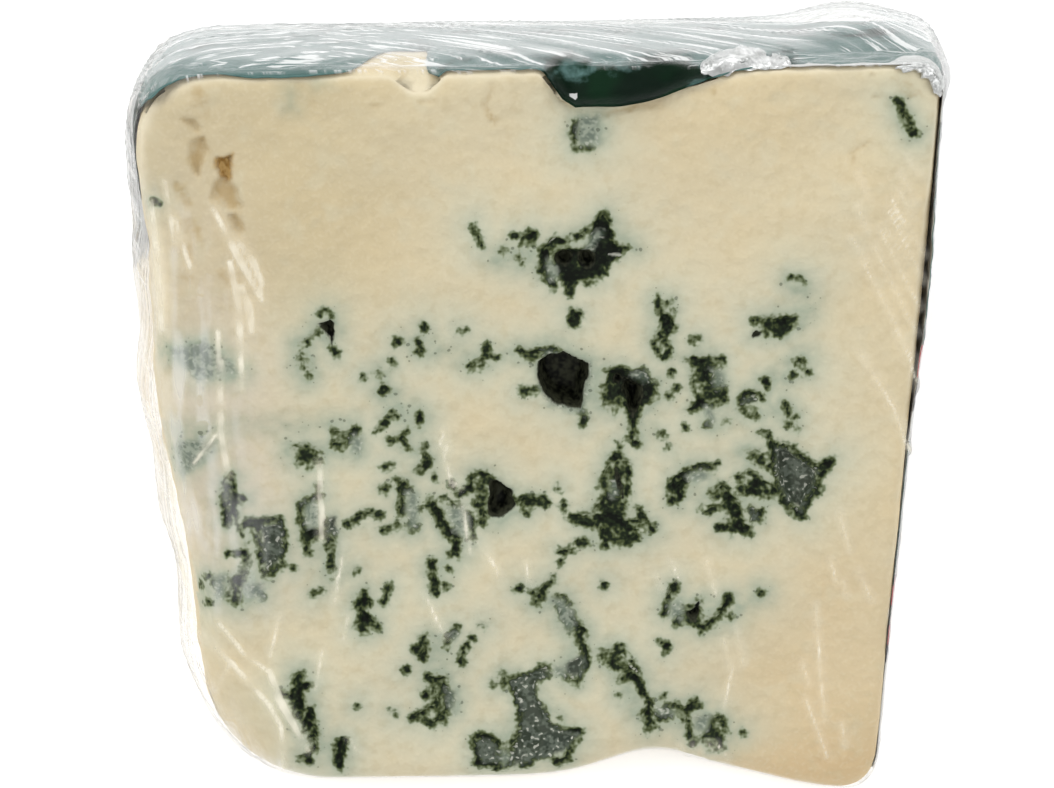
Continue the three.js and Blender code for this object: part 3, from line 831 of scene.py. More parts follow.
            line((866, 144, 1), (851, 153, 2), (853, 163, 1.5)),
            line((370, 106, 1), (382, 106, 1.4)),
            line((420, 101, 1), (433, 101, 1.2)),
            dots((872, 76, 2), (875, 97, 2), (695, 89, 2), (574, 722, 2.8)),
            line((467, 741, 1), (464, 746, 1), (467, 750.5, 1.2)),
            line((172, 368, 3), (166, 378, 4), (158, 386, 3)),
            line((176, 186, 4), (186, 204, 5)),
            line((560, 92, 3), (574, 112, 4), (600, 116, 3), (660, 100, 2)),
            line((492, 84, 2), (486, 106, 3), (494, 124, 2)),
        ],
    },
    "haze": {
        "belt": [
            line((498, 262, 8), (520, 256, 10), (548, 262, 14), (585, 245, 14), (606, 225, 8),
                 (636, 250, 5)),
            line((510, 356, 6), (545, 350, 14), (600, 388, 24), (650, 390, 14), (636, 436, 8)),
            line((660, 306, 8), (664, 350, 8)),
            line((700, 362, 12), (712, 395, 14), (712, 424, 8)),
            line((795, 286, 8), (811, 308, 10), (780, 326, 14)),
            line((806, 356, 10), (750, 404, 14), (790, 414, 8)),
            line((748, 454, 10), (766, 486, 18), (735, 512, 14), (712, 498, 12)),
            line((690, 470, 12), (678, 500, 8)),
            line((616, 460, 10), (612, 500, 16), (600, 530, 16), (645, 528, 12)),
            line((328, 326, 10), (303, 345, 10), (305, 374, 8)),
            line((420, 344, 9), (484, 362, 6)),
            line((378, 374, 5), (385, 390, 8), (400, 410, 14), (420, 420, 10), (404, 440, 8),
                 (426, 462, 8)),
            line((172, 427, 5), (240, 425, 6), (300, 425, 6), (350, 422, 5)),
            line((172, 350, 8), (205, 350, 10), (236, 374, 8)),
            line((180, 458, 10), (205, 446, 10)),
            line((292, 450, 9), (318, 458, 9), (345, 440, 12), (358, 452, 5)),
            line((230, 480, 7), (228, 518, 8), (240, 500, 8)),
            line((244, 540, 10), (270, 545, 18), (262, 574, 10), (240, 590, 14), (206, 588, 10)),
            line((312, 500, 12), (312, 530, 12), (330, 545, 10), (330, 565, 12)),
            line((404, 490, 8), (412, 524, 10)),
            line((432, 506, 6), (450, 520, 14), (462, 545, 10), (436, 572, 9)),
            line((480, 488, 14), (498, 512, 16), (530, 503, 8)),
            line((364, 600, 9), (366, 622, 10)),
            line((440, 644, 12), (436, 668, 12), (446, 700, 16)),
            line((300, 682, 10), (304, 720, 12), (314, 748, 10), (338, 752, 10)),
            line((536, 598, 8), (560, 606, 10), (580, 640, 12), (572, 672, 12)),
            line((488, 750, 14), (520, 740, 18), (560, 742, 16), (530, 700, 12), (510, 682, 8)),
            line((606, 655, 10), (628, 672, 14), (640, 704, 14), (664, 712, 12), (690, 716, 14),
                 (716, 732, 14)),
            line((668, 600, 9), (690, 614, 14), (722, 612, 12), (742, 606, 8), (762, 592, 5)),
        ],
        "rim": [
            line((291, 92, 4), (291, 104, 5)),
            dots((317, 82, 4)),
            line((583, 128, 10), (598, 128, 6)),
            line((902, 112, 5), (914, 134, 5)),
        ],
    },
    "pale": {
        "star": [line((609, 256, 0.8), (623, 254, 0.6)), line((547, 246, 0.6), (556, 236, 0.6))],
        "crystals": [
            dots((640, 414, 1), (645, 419, 0.9), (638, 423, 0.8), (648, 412, 0.8), (228, 490, 0.9),
                 (230, 506, 1), (227, 516, 0.9), (269, 545, 1.2), (450, 560, 0.8), (560, 616, 0.9),
                 (563, 622, 0.9), (570, 632, 0.8), (580, 652, 0.9), (576, 660, 0.9), (556, 672, 0.9),
                 (522, 683, 0.9), (522, 702, 0.9), (538, 684, 1), (542, 674, 1), (526, 757, 0.9),
                 (521, 760, 0.9)),
            line((629, 665, 0.8), (634, 669, 0.9), (640, 673, 0.8)),
            line((655, 707, 0.7), (668, 713, 0.8)),
        ],
    },
}


def depth_inside(seen, shape):
    """How far places in the photo lie inside a shape, in its pixels, below 0 outside."""
    kind, points = shape
    if kind == "dots":
        return np.max([half - np.hypot(*(seen - (x, y)).T) for x, y, half in points], axis=0)
    if kind == "line":
        best = np.full(len(seen), -np.inf)
        for (ax, ay, a_half), (bx, by, b_half) in zip(points, points[1:]):
            course = np.array([bx - ax, by - ay])
            along = np.clip((seen - (ax, ay)) @ course / max(course @ course, 1e-9), 0, 1)
            gap = np.hypot(*(seen - (ax, ay) - along[:, None] * course).T)
            best = np.maximum(best, lerp(a_half, b_half, along) - gap)
        return best
    near = np.full(len(seen), np.inf)
    inside = np.zeros(len(seen), bool)
    x, y = seen.T
    for a, b in zip(points, np.roll(points, -1, axis=0)):
        course = b - a
        along = np.clip((seen - a) @ course / (course @ course), 0, 1)
        near = np.minimum(near, np.hypot(*(seen - a - along[:, None] * course).T))
        crosses = (a[1] > y) != (b[1] > y)
        level = np.where(crosses, (y - a[1]) / np.where(crosses, b[1] - a[1], 1), 0)
        inside ^= crosses & (x < a[0] + level * course[0])
    return np.where(inside, near, -near)


REACH = 60


def near_shape(seen, shape):
    """Which places are close enough to a shape for it to matter."""
    points = shape[1][:, :2]
    return ((seen > points.min(0) - REACH) & (seen < points.max(0) + REACH)).all(1)


# ---------------------------------------------------------------- shader nodes


class Nodes:
    """A short way to write a material's nodes. Places are in mm."""

    def __init__(self, name):
        self.material = bpy.data.materials.new(name)
        self.material.use_nodes = True
        self.tree = self.material.node_tree
        self.tree.nodes.clear()
        self.output = self.tree.nodes.new("ShaderNodeOutputMaterial")
        self.place = self.vector("SCALE", self.new("ShaderNodeTexCoord").outputs["Object"], scale=1 / MM)

    def new(self, kind, **settings):
        node = self.tree.nodes.new(kind)
        for key, value in settings.items():
            setattr(node, key, value)
        return node

    def put(self, socket, value):
        if isinstance(value, bpy.types.NodeSocket):
            self.tree.links.new(value, socket)
        elif isinstance(value, tuple) and len(value) == 3 and len(socket.default_value) == 4:
            socket.default_value = (*value, 1)
        elif value is not None:
            socket.default_value = value

    def math(self, operation, a, b=None, clamp=False):
        node = self.new("ShaderNodeMath", operation=operation, use_clamp=clamp)
        self.put(node.inputs[0], a)
        self.put(node.inputs[1], b)
        return node.outputs[0]

    def times(self, a, b, clamp=False):
        return self.math("MULTIPLY", a, b, clamp)

    def plus(self, a, b):
        return self.math("ADD", a, b)

    def vector(self, operation, a, b=None, scale=None):
        node = self.new("ShaderNodeVectorMath", operation=operation)
        self.put(node.inputs[0], a)
        self.put(node.inputs[1], b)
        if scale is not None:
            self.put(node.inputs["Scale"], scale)
        return node.outputs["Value" if operation in ("LENGTH", "DOT_PRODUCT") else "Vector"]

    def field(self, name):
        return self.new("ShaderNodeAttribute", attribute_name=name).outputs["Fac"]

    def noise(self, size, detail=3.0, roughness=0.5, stretch=None):
        """Noise about 0, from -0.5 to 0.5, with lumps about `size` mm across."""
        place = self.place if stretch is None else self.vector("MULTIPLY", self.place, stretch)
        node = self.new("ShaderNodeTexNoise")
        self.put(node.inputs["Vector"], place)
        self.put(node.inputs["Scale"], 1 / size)
        self.put(node.inputs["Detail"], detail)
        self.put(node.inputs["Roughness"], roughness)
        return self.math("SUBTRACT", node.outputs["Fac"], 0.5)

    def ramp(self, value, start, end):
        node = self.new("ShaderNodeMapRange", interpolation_type="SMOOTHSTEP")
        self.put(node.inputs["Value"], value)
        self.put(node.inputs["From Min"], start)
        self.put(node.inputs["From Max"], end)
        return node.outputs["Result"]

    def mix(self, amount, a, b):
        node = self.new("ShaderNodeMix", data_type="RGBA")
        self.put(node.inputs[0], amount)
        self.put(node.inputs[6], a)
        self.put(node.inputs[7], b)
        return node.outputs[2]

    def shades(self, value, *stops):
        """A colour that runs through stops of (position, colour)."""
        node = self.new("ShaderNodeValToRGB")
        self.put(node.inputs["Fac"], value)
        ramp = node.color_ramp
        while len(ramp.elements) < len(stops):
            ramp.elements.new(1)
        for element, (position, colour) in zip(ramp.elements, stops):
            element.position = position
            element.color = (*colour, 1)
        return node.outputs["Color"]

    def bump(self, height, strength, distance):
        node = self.new("ShaderNodeBump")
        self.put(node.inputs["Height"], height)
        self.put(node.inputs["Strength"], strength)
        self.put(node.inputs["Distance"], distance * MM)
        return node.outputs["Normal"]

    def principled(self, **inputs):
        node = self.new("ShaderNodeBsdfPrincipled")
        for key, value in inputs.items():
            self.put(node.inputs[key.replace("_", " ")], value)
        return node.outputs["BSDF"]

    def finish(self, shader):
        self.tree.links.new(shader, self.output.inputs["Surface"])
        return self.material


def rgb(red, green, blue):
    """A screen colour from 0 to 255 as Blender's linear colour."""
    channels = (red / 255, green / 255, blue / 255)
    return tuple(c / 12.92 if c <= 0.04045 else ((c + 0.055) / 1.055) ** 2.4 for c in channels)


# ---------------------------------------------------------------- the cheese

PASTE = rgb(212, 198, 165)
PASTE_WARM = rgb(214, 196, 158)
PASTE_PINK = rgb(210, 199, 178)
PASTE_BEIGE = rgb(208, 184, 144)
PASTE_DULL = rgb(199, 184, 148)
PASTE_PALE = rgb(209, 206, 182)
# Pale specks in the paste, and a painted highlight at its edges
PASTE_SPECK_AND_HIGHLIGHT = rgb(228, 218, 192)
HAZE = rgb(162, 171, 151)
DUSTY = (rgb(104, 116, 104), rgb(152, 160, 144))
GREY = (rgb(46, 54, 45), rgb(96, 104, 93))
MOULD = [(0.1, rgb(170, 177, 154)), (0.29, rgb(120, 129, 100)), (0.47, rgb(74, 83, 50)),
         (0.66, rgb(32, 42, 24)), (1, rgb(12, 17, 9))]
SPECK = rgb(46, 56, 38)
# The pockets' near black: the mould lining them and a painted shade of their depth
HOLE_MOULD_AND_SHADE = (rgb(6, 8, 4), rgb(56, 58, 44))
BROWN = (rgb(148, 114, 60), rgb(186, 154, 98))
# A painted shade of hollows and crags, partly the paste's own brown
PAINTED_TAN_SHADE = rgb(180, 156, 112)
WHITE_RIM = rgb(222, 222, 208)


def cheese_material():
    n = Nodes("blue_cheese")
    fine = n.noise(0.5, 0, 0.5)
    small = n.noise(1.5, 2, 0.5)
    broad = n.noise(13, 1, 0.5)
    ragged = n.plus(n.times(fine, 0.5), n.times(small, 1.4))
    mottle = n.plus(n.times(small, 1.4), n.times(fine, 0.7))

    def reach(kind, amount, start, end):
        """How much of a kind of mark there is, with a ragged edge from start to end mm inside it."""
        return n.ramp(n.plus(n.field(kind), n.times(ragged, amount)), start, end)

    def speckled(dark, light, spread=0.16):
        return n.mix(n.ramp(mottle, -spread, spread), dark, light)

    def over(colour, share, amount, shade):
        return n.mix(n.times(amount, share), colour, shade)

    paste = n.mix(n.ramp(broad, -0.2, 0.2), PASTE, PASTE_WARM)
    paste = n.mix(n.field("belt"), paste, PASTE_PALE)
    paste = n.mix(n.field("pink"), paste, PASTE_PINK)
    paste = n.mix(n.field("beige"), paste, PASTE_BEIGE)
    paste = over(paste, 0.65, n.field("dull"), PASTE_DULL)
    paste = over(paste, 0.34, n.ramp(small, -0.02, 0.2), PASTE_DULL)
    paste = over(paste, 0.2, n.ramp(n.noise(3.5, 1, 0.6), 0.02, 0.2), PASTE_PALE)
    # Fine pale specks, partly painted glints on the paste
    paste = over(paste, 0.14, n.ramp(fine, 0, 0.3), PASTE_SPECK_AND_HIGHLIGHT)
    # Painted shade in cracks, hollows and crags, partly the paste's own brown
    paste = over(paste, 0.85, reach("tan", 1.2, -0.5, 1.2), PAINTED_TAN_SHADE)
    # Paler where the surface turns from the cut face to its edges and sides: a painted highlight
    paste = n.mix(n.field("edge"), paste, PASTE_SPECK_AND_HIGHLIGHT)

    haze = n.times(n.field("haze"), n.plus(n.times(small, 1.2), 0.95), clamp=True)
    colour = n.mix(haze, paste, HAZE)
    colour = n.mix(reach("brown", 0.6, -0.5, 0.4), colour, speckled(*BROWN))

    # Mould darkens from its soft edge to its core
    core = n.times(reach("black", 0.8, -1.0, 0.85), n.plus(mottle, 0.98))
    lump = n.times(reach("green", 1.0, -1.0, 1.3), n.plus(mottle, 0.7))
    mould = n.math("MAXIMUM", core, lump, clamp=True)
    colour = n.mix(n.ramp(mould, 0, 0.26), colour, n.shades(mould, *MOULD))
    colour = over(colour, 0.9, reach("dusty", 1.1, -0.7, 0.5), speckled(*DUSTY))
    colour = over(colour, 0.92, reach("grey", 0.8, -0.45, 0.3), speckled(*GREY))

    speck = n.new("ShaderNodeTexVoronoi")
    n.put(speck.inputs["Vector"], n.place)
    n.put(speck.inputs["Scale"], 1.2)
    size = n.times(n.ramp(haze, 0.15, 0.8), n.plus(n.times(small, 1.3), 0.1))
    spot = n.math("SUBTRACT", size, speck.outputs["Distance"])
    colour = over(colour, 0.5, n.ramp(spot, -0.08, 0.06), SPECK)
    crystal = n.times(n.math("MAXIMUM", n.field("sheen"), 0.0), n.ramp(fine, 0.15, 0.26))
    colour = n.mix(crystal, colour, WHITE_RIM)

    # The pockets are painted near black, for their mould and as a painted shade of their depth, mottled with
    # a lighter tone
    colour = n.mix(reach("hole", 0.25, -0.14, 0.08), colour, speckled(*HOLE_MOULD_AND_SHADE, 0.3))
    colour = over(colour, 0.5, reach("pale", 0.25, -0.12, 0.06), WHITE_RIM)

    height = n.plus(n.times(fine, 0.4), n.times(small, 0.7))
    shader = n.principled(
        Base_Color=colour,
        Roughness=0.55,
        Specular_IOR_Level=0.1,
        Normal=n.bump(height, 0.4, 0.25),
    )
    return n.finish(shader)


# How far the haze and the paler belt reach from a mark, in mm, and its outline's wobble, in pixels
HALO = 1.6
BELT = 4.5
WOBBLE = 2.0
# How deep in a mark the places count that are far from it, in mm
FAR_OUTSIDE = -9.0
# A mark starts to sink this far outside its outline, and its edge is wider the deeper it goes, up to a depth
EDGE_START = 0.25
EDGE_PER_DEPTH = 0.3
EDGE_DEPTH = 2.5


def marks_inside(seen, on_face, shapes):
    """How deep each place lies in a group of shapes, in mm."""
    inside = np.full(len(seen), FAR_OUTSIDE * PIXELS_PER_MM)
    for shape in shapes:
        near = on_face & near_shape(seen, shape)
        if near.any():
            inside[near] = np.maximum(inside[near], depth_inside(seen[near], shape))
    return inside / PIXELS_PER_MM


def vein_fields(places, on_face):
    """How deep each place lies in each kind of mark, in mm, and how deep the marks go there."""
    warp = np.stack([layered_noise(places, 1.4, 11), layered_noise(places, 1.4, 21)], 1)
    seen = in_photo(places) + WOBBLE * warp
    fields = {}
    hollow = np.zeros(len(places))
    for kind, groups in VEINS.items():
        fields[kind] = np.full(len(places), FAR_OUTSIDE)
        for name, shapes in groups.items():
            inside = marks_inside(seen, on_face, shapes)
            fields[kind] = np.maximum(fields[kind], inside)
            depth = DEEPER.get((kind, name), DEPTHS[kind])
            edge_end = EDGE_START + EDGE_PER_DEPTH * min(abs(depth), EDGE_DEPTH)
            sunk = depth * smoothstep(inside, -EDGE_START, edge_end)
            hollow = np.maximum(hollow, sunk) if depth > 0 else hollow + sunk
    marks = np.maximum.reduce([fields[kind] for kind in ("black", "green", "dusty", "grey", "hole")])
    away = np.maximum(-marks, 0)
    wide = smoothstep(fields["haze"], -2.8, 2.2)
    fields["haze"] = np.clip(0.72 * np.exp(-away / HALO) + 0.62 * wide, 0, 1)
    fields["belt"] = np.clip(1.25 * np.exp(-away / BELT), 0, 1)
    fields["sheen"] = np.clip(fields["grey"] + 0.4, 0, 0.5) + np.clip(0.5 - np.abs(fields["dusty"]), 0, 0.3)
    return fields, hollow


CHEESE_CELLS = {"columns": 288, "rows": 264, "layers": 16, "coarse": 6}
# How squarely a place has to face the cut face's way for its marks to begin, and to be there in full
ON_FACE = (0.35, 0.8)
# Heights of the cheese's unevenness, in mm, and the share of it that is left away from the cut face
LUMPS = {"paste": 0.2, "rim": 0.36, "fine": 0.08, "shoulder": 0.5}
OFF_FACE = 0.3


def paste_tones(places, facing):
    """Where the paste is pinker, more beige, duller, or paler at its edge as a painted highlight, from 0 to
    1.
    """
    x, y, _ = places.T
    left_edge = x + half_width(places)
    near_left = 1 - smoothstep(left_edge, 6, 20)
    past_tip = smoothstep(y, 16, 34)
    before_rim = 1 - 0.6 * smoothstep(y, 66, 80)
    right_low = smoothstep(x, 8, 40) * (1 - smoothstep(y, 4, 42))
    foot = (1 - smoothstep(y, 0, 6)) * smoothstep(x, -4, 20)
    corner = (1 - smoothstep(left_edge, 3, 14)) * (1 - smoothstep(y, 3, 22))
    return {
        "pink": near_left * past_tip * before_rim,
        "beige": np.clip(0.55 * right_low + 0.5 * foot + 0.15 * corner, 0, 1),
        "dull": (1 - smoothstep(x, -28, -6)) * smoothstep(y, 48, 62),
        # A painted highlight, paler where the surface turns away from the cut face
        "edge": 0.7 * smoothstep(1 - facing, 0.03, 0.3) * smoothstep(y, 20, 60),
    }


def cheese():
    cube, faces = cube_surface(**CHEESE_CELLS)
    places, outward = settle(stretched(cube), lambda p: wedge(p, sides(p, True), ROUNDING), 0)
    facing = outward @ FACE_NORMAL
    on_face = facing > ON_FACE[0]
    share = smoothstep(facing, *ON_FACE)
    fields, hollow = vein_fields(places, on_face)
    fields.update(paste_tones(places, facing))

    near_rim = smoothstep(places[:, 1], 74, 80)
    blotched = smoothstep(layered_noise(places, (4, 5, 5), 35), 0.1, 0.7)
    # Tan blotches near the rim and in the pinker paste: a painted shade of crumbly hollows, and wear
    worn_and_shaded = np.maximum(near_rim, fields["pink"]) * blotched
    fields["tan"] = np.maximum(fields["tan"], lerp(-1.2, 0.2, worn_and_shaded))

    lumps = lerp(LUMPS["paste"], LUMPS["rim"], near_rim) * layered_noise(places, 3.5, 31)
    lumps += LUMPS["fine"] * noise(places, 0.9, 41)
    lumps *= lerp(OFF_FACE, 1, share)
    rough_shoulder = LUMPS["shoulder"] * shoulder_share(places) * layered_noise(places, 6, 51)
    moved = places + outward * (lumps + rough_shoulder)[:, None] - FACE_NORMAL * (hollow * share)[:, None]
    fields = {kind: np.where(on_face, values, np.minimum(values, 0)) for kind, values in fields.items()}
    return moved, faces, fields


# ---------------------------------------------------------------- the foil

FOIL_GREEN = rgb(1, 34, 14)
FOIL_DEEP = rgb(0, 20, 8)
FOIL_SLATE = rgb(84, 114, 110)
FOIL_RED = rgb(176, 30, 42)
FOIL_BLUE = rgb(22, 34, 58)
FOIL_TEAL = rgb(30, 66, 62)
SILVER = rgb(205, 206, 204)
SILVER_DARK = rgb(188, 190, 188)
SILVER_LIGHT = rgb(226, 227, 226)

FOIL_GAP = 0.12
FOIL_SHEET = 0.12
FOIL_CRUMPLE = 0.42
FOIL_FLARE = 0.22
EDGE_SLACK = {"at": 57, "reach": 13, "height": 0.6}
FOIL_FROM_FLOOR = 1.9
FOIL_ENDS = {"left": 0.45, "right": -0.985}
FOIL_COLUMNS = {"left": 44, "rim": 240, "right": 170}
FOIL_ROWS = 72
FOIL_TORN = 0.3
# How far the foil stands off the right flat, as a share of its crumples elsewhere
FLAT_SHARE = 0.16

# The flat's print: rings round the wheel's middle, each with its outer radius
FLAT_RINGS = [(17, SILVER), (19.5, FOIL_BLUE), (22, FOIL_RED), (24.5, FOIL_TEAL), (27.2, FOIL_RED),
              (46.6, FOIL_TEAL), (50.6, SILVER), (55.2, FOIL_BLUE), (59.6, FOIL_RED), (200, FOIL_GREEN)]


def crinkled(places, size, seed, waves=6):
    """Creases as in a crushed sheet, flat between sharp folds, from 0 to 1."""
    draw = np.random.default_rng(seed)
    total = np.zeros(len(places))
    for wave in range(waves):
        course = draw.normal(size=3)
        course /= np.linalg.norm(course) * size * draw.uniform(0.7, 1.5)
        phase = places @ course + draw.uniform() + 0.5 * noise(places, size * 2.2, seed + wave)
        total += np.abs(phase % 1 - 0.5) * 2 / waves
    return total


def foil_material():
    n = Nodes("printed_foil")
    tone = n.mix(n.ramp(n.noise(5, 1), -0.15, 0.2), FOIL_DEEP, FOIL_GREEN)
    patchy = n.plus(n.noise(1.2, 2, 0.6), n.times(n.noise(8, 1), 3.4))
    tone = n.mix(n.ramp(n.plus(n.field("slate"), patchy), 0.1, 0.9), tone, FOIL_SLATE)
    rings = tone
    ring = n.plus(n.field("ring"), n.times(n.noise(3, 1), 0.8))
    for outer, colour in reversed(FLAT_RINGS[:-1]):
        rings = n.mix(n.math("LESS_THAN", ring, outer), rings, colour)
    colour = n.mix(n.ramp(n.field("flat"), 0.4, 0.6), tone, rings)
    bare = n.plus(n.field("bare"), n.times(n.noise(1.2, 2, 0.6), 0.5))
    colour = n.mix(n.ramp(bare, 0.45, 0.55), colour, SILVER)
    shader = n.principled(
        Base_Color=colour,
        Metallic=0.3,
        Specular_IOR_Level=0.1,
        Roughness=n.plus(n.times(n.noise(2, 1), 0.2), 0.42),
        Normal=n.bump(n.noise(0.7, 2, 0.6), 0.4, 0.12),
    )
    return n.finish(shader)


def silver_material():
    n = Nodes("foil_silver")
    tone = n.mix(n.ramp(n.noise(1.5, 3), -0.2, 0.2), SILVER_DARK, SILVER_LIGHT)
    bumpy = n.bump(n.noise(0.6, 3, 0.6), 0.5, 0.1)
    return n.finish(n.principled(Base_Color=tone, Metallic=0.75, Roughness=0.3, Normal=bumpy))


# Places on the foil, in the photo's pixels: where its deep green shows, a slack flap in it, a scrap, and
# where it lifts towards the right corner
DEEP_GREEN = patch((528, 80), (545, 98), (560, 116), (604, 116), (640, 110), (690, 96), (716, 84),
                   (706, 72), (685, 66), (661, 61), (647, 66), (620, 73), (600, 76), (588, 62), (569, 54),
                   (558, 58), (546, 74))
FLAP = patch((544, 80), (549, 66), (558, 58), (569, 54), (588, 62), (599, 80), (575, 84))
SCRAP = line((567, 104, 0.5), (573, 100, 1.5), (580, 92, 0.5))
LIFTED = patch((702, 84), (700, 66), (722, 48), (744, 42), (764, 44), (794, 48), (796, 78))


def each_row(values):
    """One value for each column of the foil, repeated for its rows."""
    return np.repeat(values, FOIL_ROWS + 1)


def mm_inside(seen, shape):
    return depth_inside(seen, shape) / PIXELS_PER_MM


def foil_path():
    """The foil's course round the edge of the cube, and how torn it is there, from 0 to 1."""
    left, rim, right = FOIL_COLUMNS["left"], FOIL_COLUMNS["rim"], FOIL_COLUMNS["right"]
    spans = [
        (np.full(left, -1.0), np.linspace(FOIL_ENDS["left"], 1, left, endpoint=False)),
        (np.linspace(-1, 1, rim, endpoint=False), np.full(rim, 1.0)),
        (np.full(right, 1.0), np.linspace(1, FOIL_ENDS["right"], right)),
    ]
    path = np.concatenate([np.stack(span, 1) for span in spans])
    torn = np.concatenate([1 - np.arange(left) / left, np.zeros(rim + right)])
    return path, torn


def foil_print(path, bare_span, settled, outward, below_top, slack):
    """Where the foil shows its rings, its slate print and its bare silver."""
    seen = in_photo(settled)
    bare_depth = lerp(0.7, 2.4, smoothstep(settled[:, 0], 42.5, 44.5)) - below_top
    bare = each_row(bare_span) * smoothstep(bare_depth + 0.5 * noise(settled, 3, 63), 0, 0.7)
    near_end = smoothstep(-each_row(path[:, 1]), 0.76, 0.86) * smoothstep(outward[:, 0], 0.3, 0.6)
    bare = np.maximum(bare, near_end * (0.35 + 0.5 * crinkled(settled, 2.5, 64)))
    bare = np.maximum(bare, smoothstep(mm_inside(seen, SCRAP), -0.25, 0.1))
    on_rim = smoothstep(outward[:, 1], 0.2, 0.5) * 2 - 1
    slate = np.minimum(on_rim, -mm_inside(seen, DEEP_GREEN))
    slate = np.maximum(slate, 0.6 * depth_inside(seen, FLAP) / PIXELS_PER_MM)
    slate = np.maximum(slate, 1.7 * slack * (1 - smoothstep(below_top, 1, 5)) - 0.2)
    flat = np.clip(outward[:, 0], 0, 1) * (settled[:, 0] > 0)
    return {"ring": radius(settled), "flat": flat, "bare": bare, "slate": slate}


def foil():
    """The sheet round the left corner, the rim and the right flat, in rows from foot to torn top."""
    path, torn = foil_path()
    count = len(path)
    up = np.linspace(0, 1, FOIL_ROWS + 1)
    foot = stretched(np.column_stack([path, np.full(count, -1.0)]))
    head = stretched(np.column_stack([path, np.full(count, 1.0)]))
    head_x, head_y, head_z = head.T
    places = lerp(foot[:, None], head[:, None], up[None, :, None])

    # The top edge is torn away at the left end and short of the cut face elsewhere, but for the slack
    on_flat = (path[:, 0] > 0.999) * (1 - smoothstep(path[:, 1], 0.86, 0.97))
    slack = on_flat * bump(head_y, EDGE_SLACK["at"], EDGE_SLACK["reach"])
    torn_lower = 8 * smoothstep(head_x, -22.5, -17) * (1 - smoothstep(head_x, -13, -11.5))
    short = 0.25 + torn_lower * (head_y > 70) + 0.95 * on_flat - 1.1 * slack
    ragged = 0.5 * noise(head, 5, 61) + 0.35 * noise(head, 1.6, 62)
    ragged *= 1 - 0.5 * on_flat
    top = lerp(head_z - short + ragged, head_z * (1 - FOIL_TORN) + 2 * ragged, torn)
    places[:, :, 2] = lerp(FOIL_FROM_FLOOR, top[:, None], up)
    torn_end = layered_noise(places.reshape(-1, 3) * [0, 0, 1], 5, 65).reshape(count, -1)
    places[:, :, 1] += 3 * torn[:, None] * torn_end
    below_top = (top[:, None] - places[:, :, 2]).ravel()
    flat_places = places.reshape(-1, 3)

    crumple = FOIL_CRUMPLE * crinkled(flat_places, 5.5, 71) + 0.12 * crinkled(flat_places, 1.8, 72)
    flare = FOIL_FLARE * smoothstep(below_top, 0, 3.5)
    stand_off = crumple * lerp(0.5, 1, smoothstep(below_top, 0, 3)) + flare
    along_flat = lerp(FLAT_SHARE, 1, smoothstep(path[:, 1], 0.8, 1))
    stand_off *= each_row(np.where(path[:, 0] > 0.999, along_flat, 1))
    slack = each_row(slack) * (1 - smoothstep(below_top, 1, 9))
    stand_off += EDGE_SLACK["height"] * slack * (0.5 + crinkled(flat_places, 2.4, 73))

    settled, outward = settle(flat_places, lambda p: sides(p, True) - stand_off, FOIL_GAP, level=True)
    bare_span = smoothstep(head_x, 27, 31) * smoothstep(head_y, 74, 79)
    fields = foil_print(path, bare_span, settled, outward, below_top, slack)
    return settled, [face[::-1] for face in grid_faces(count - 1, FOIL_ROWS)], fields


# A crumpled piece of the foil's torn edge, silver side out. Along its span: how far it lies down the rim from
# the edge, and how far over the cut face.
FOLD_SPAN = (20.2, 31)
FOLD_DOWN = ((0, 0.12, 0.28, 0.5, 0.68, 0.76, 0.86, 0.94, 1), (0.7, 4.4, 6.4, 8, 6.8, 4.6, 6.6, 3.6, 1.2))
FOLD_OVER = ((0, 0.2, 0.45, 0.7, 1), (0.1, 0.7, 0.5, 0.1, -0.4))
FOLD_CELLS = (64, 36)


def strip(cells):
    """Points over a strip of columns and rows, as their shares along it and across it."""
    columns, rows = cells
    u, v = np.meshgrid(np.linspace(0, 1, columns + 1), np.linspace(0, 1, rows + 1), indexing="ij")
    return u.ravel(), v.ravel()


def closed_at_edges(u, v):
    """From 0 at a strip's edges to 1 at its middle."""
    return np.sin(v * math.pi) ** 0.4 * np.sin(u * math.pi) ** 0.3


def puffed(places, gap, puff, cells):
    """A strip laid on the wedge and puffed out from it."""
    settled, outward = settle(places, lambda p: wedge(p, sides(p), ROUNDING), gap)
    return settled + outward * puff[:, None], grid_faces(*cells)


def foil_fold():
    u, v = strip(FOLD_CELLS)
    x = lerp(*FOLD_SPAN, u)
    down = lerp(np.interp(u, *FOLD_DOWN), -np.interp(u, *FOLD_OVER), v)
    down += 0.7 * noise(np.stack([x, v * 6, v * 0], 1), 0.9, 81)
    edge_turn = math.atan2(face_height(RIM_EDGE_Y), RIM_EDGE_Y)
    turn = edge_turn - np.maximum(down, 0) / WHEEL_RADIUS
    back = np.maximum(-down, 0)
    y = WHEEL_RADIUS * np.cos(turn) - back * LEAN
    z = WHEEL_RADIUS * np.sin(turn) - back * math.sin(WEDGE_ANGLE)
    places = np.stack([x, y, z], 1)
    puff = crinkled(places, 3.4, 82, 3) + 0.5 * crinkled(places, 1.3, 83, 3)
    puff *= closed_at_edges(u, v) * smoothstep(down, -0.8, 1.2)
    return puffed(places, 0.2, puff, FOLD_CELLS)


# The same at the right corner: where on the cube's upper edge it starts and ends, and its share on the rim
CORNER_FROM = 0.86
CORNER_TO = 0.9
CORNER_TURN = 0.55
CORNER_DOWN = ((0, 0.3, 0.6, 1), (0.5, 2.2, 2.8, 0.7))
CORNER_OVER = ((0, 0.15, 0.3, 0.42, 0.55, 0.7, 0.85, 1), (-0.2, 0.8, 0.5, 1.7, 2.3, 1.5, 0.9, 0.1))
CORNER_CELLS = (48, 26)
# Where on the cut face its upper side leans towards, across and back
CORNER_TOWARDS = (34, 70)


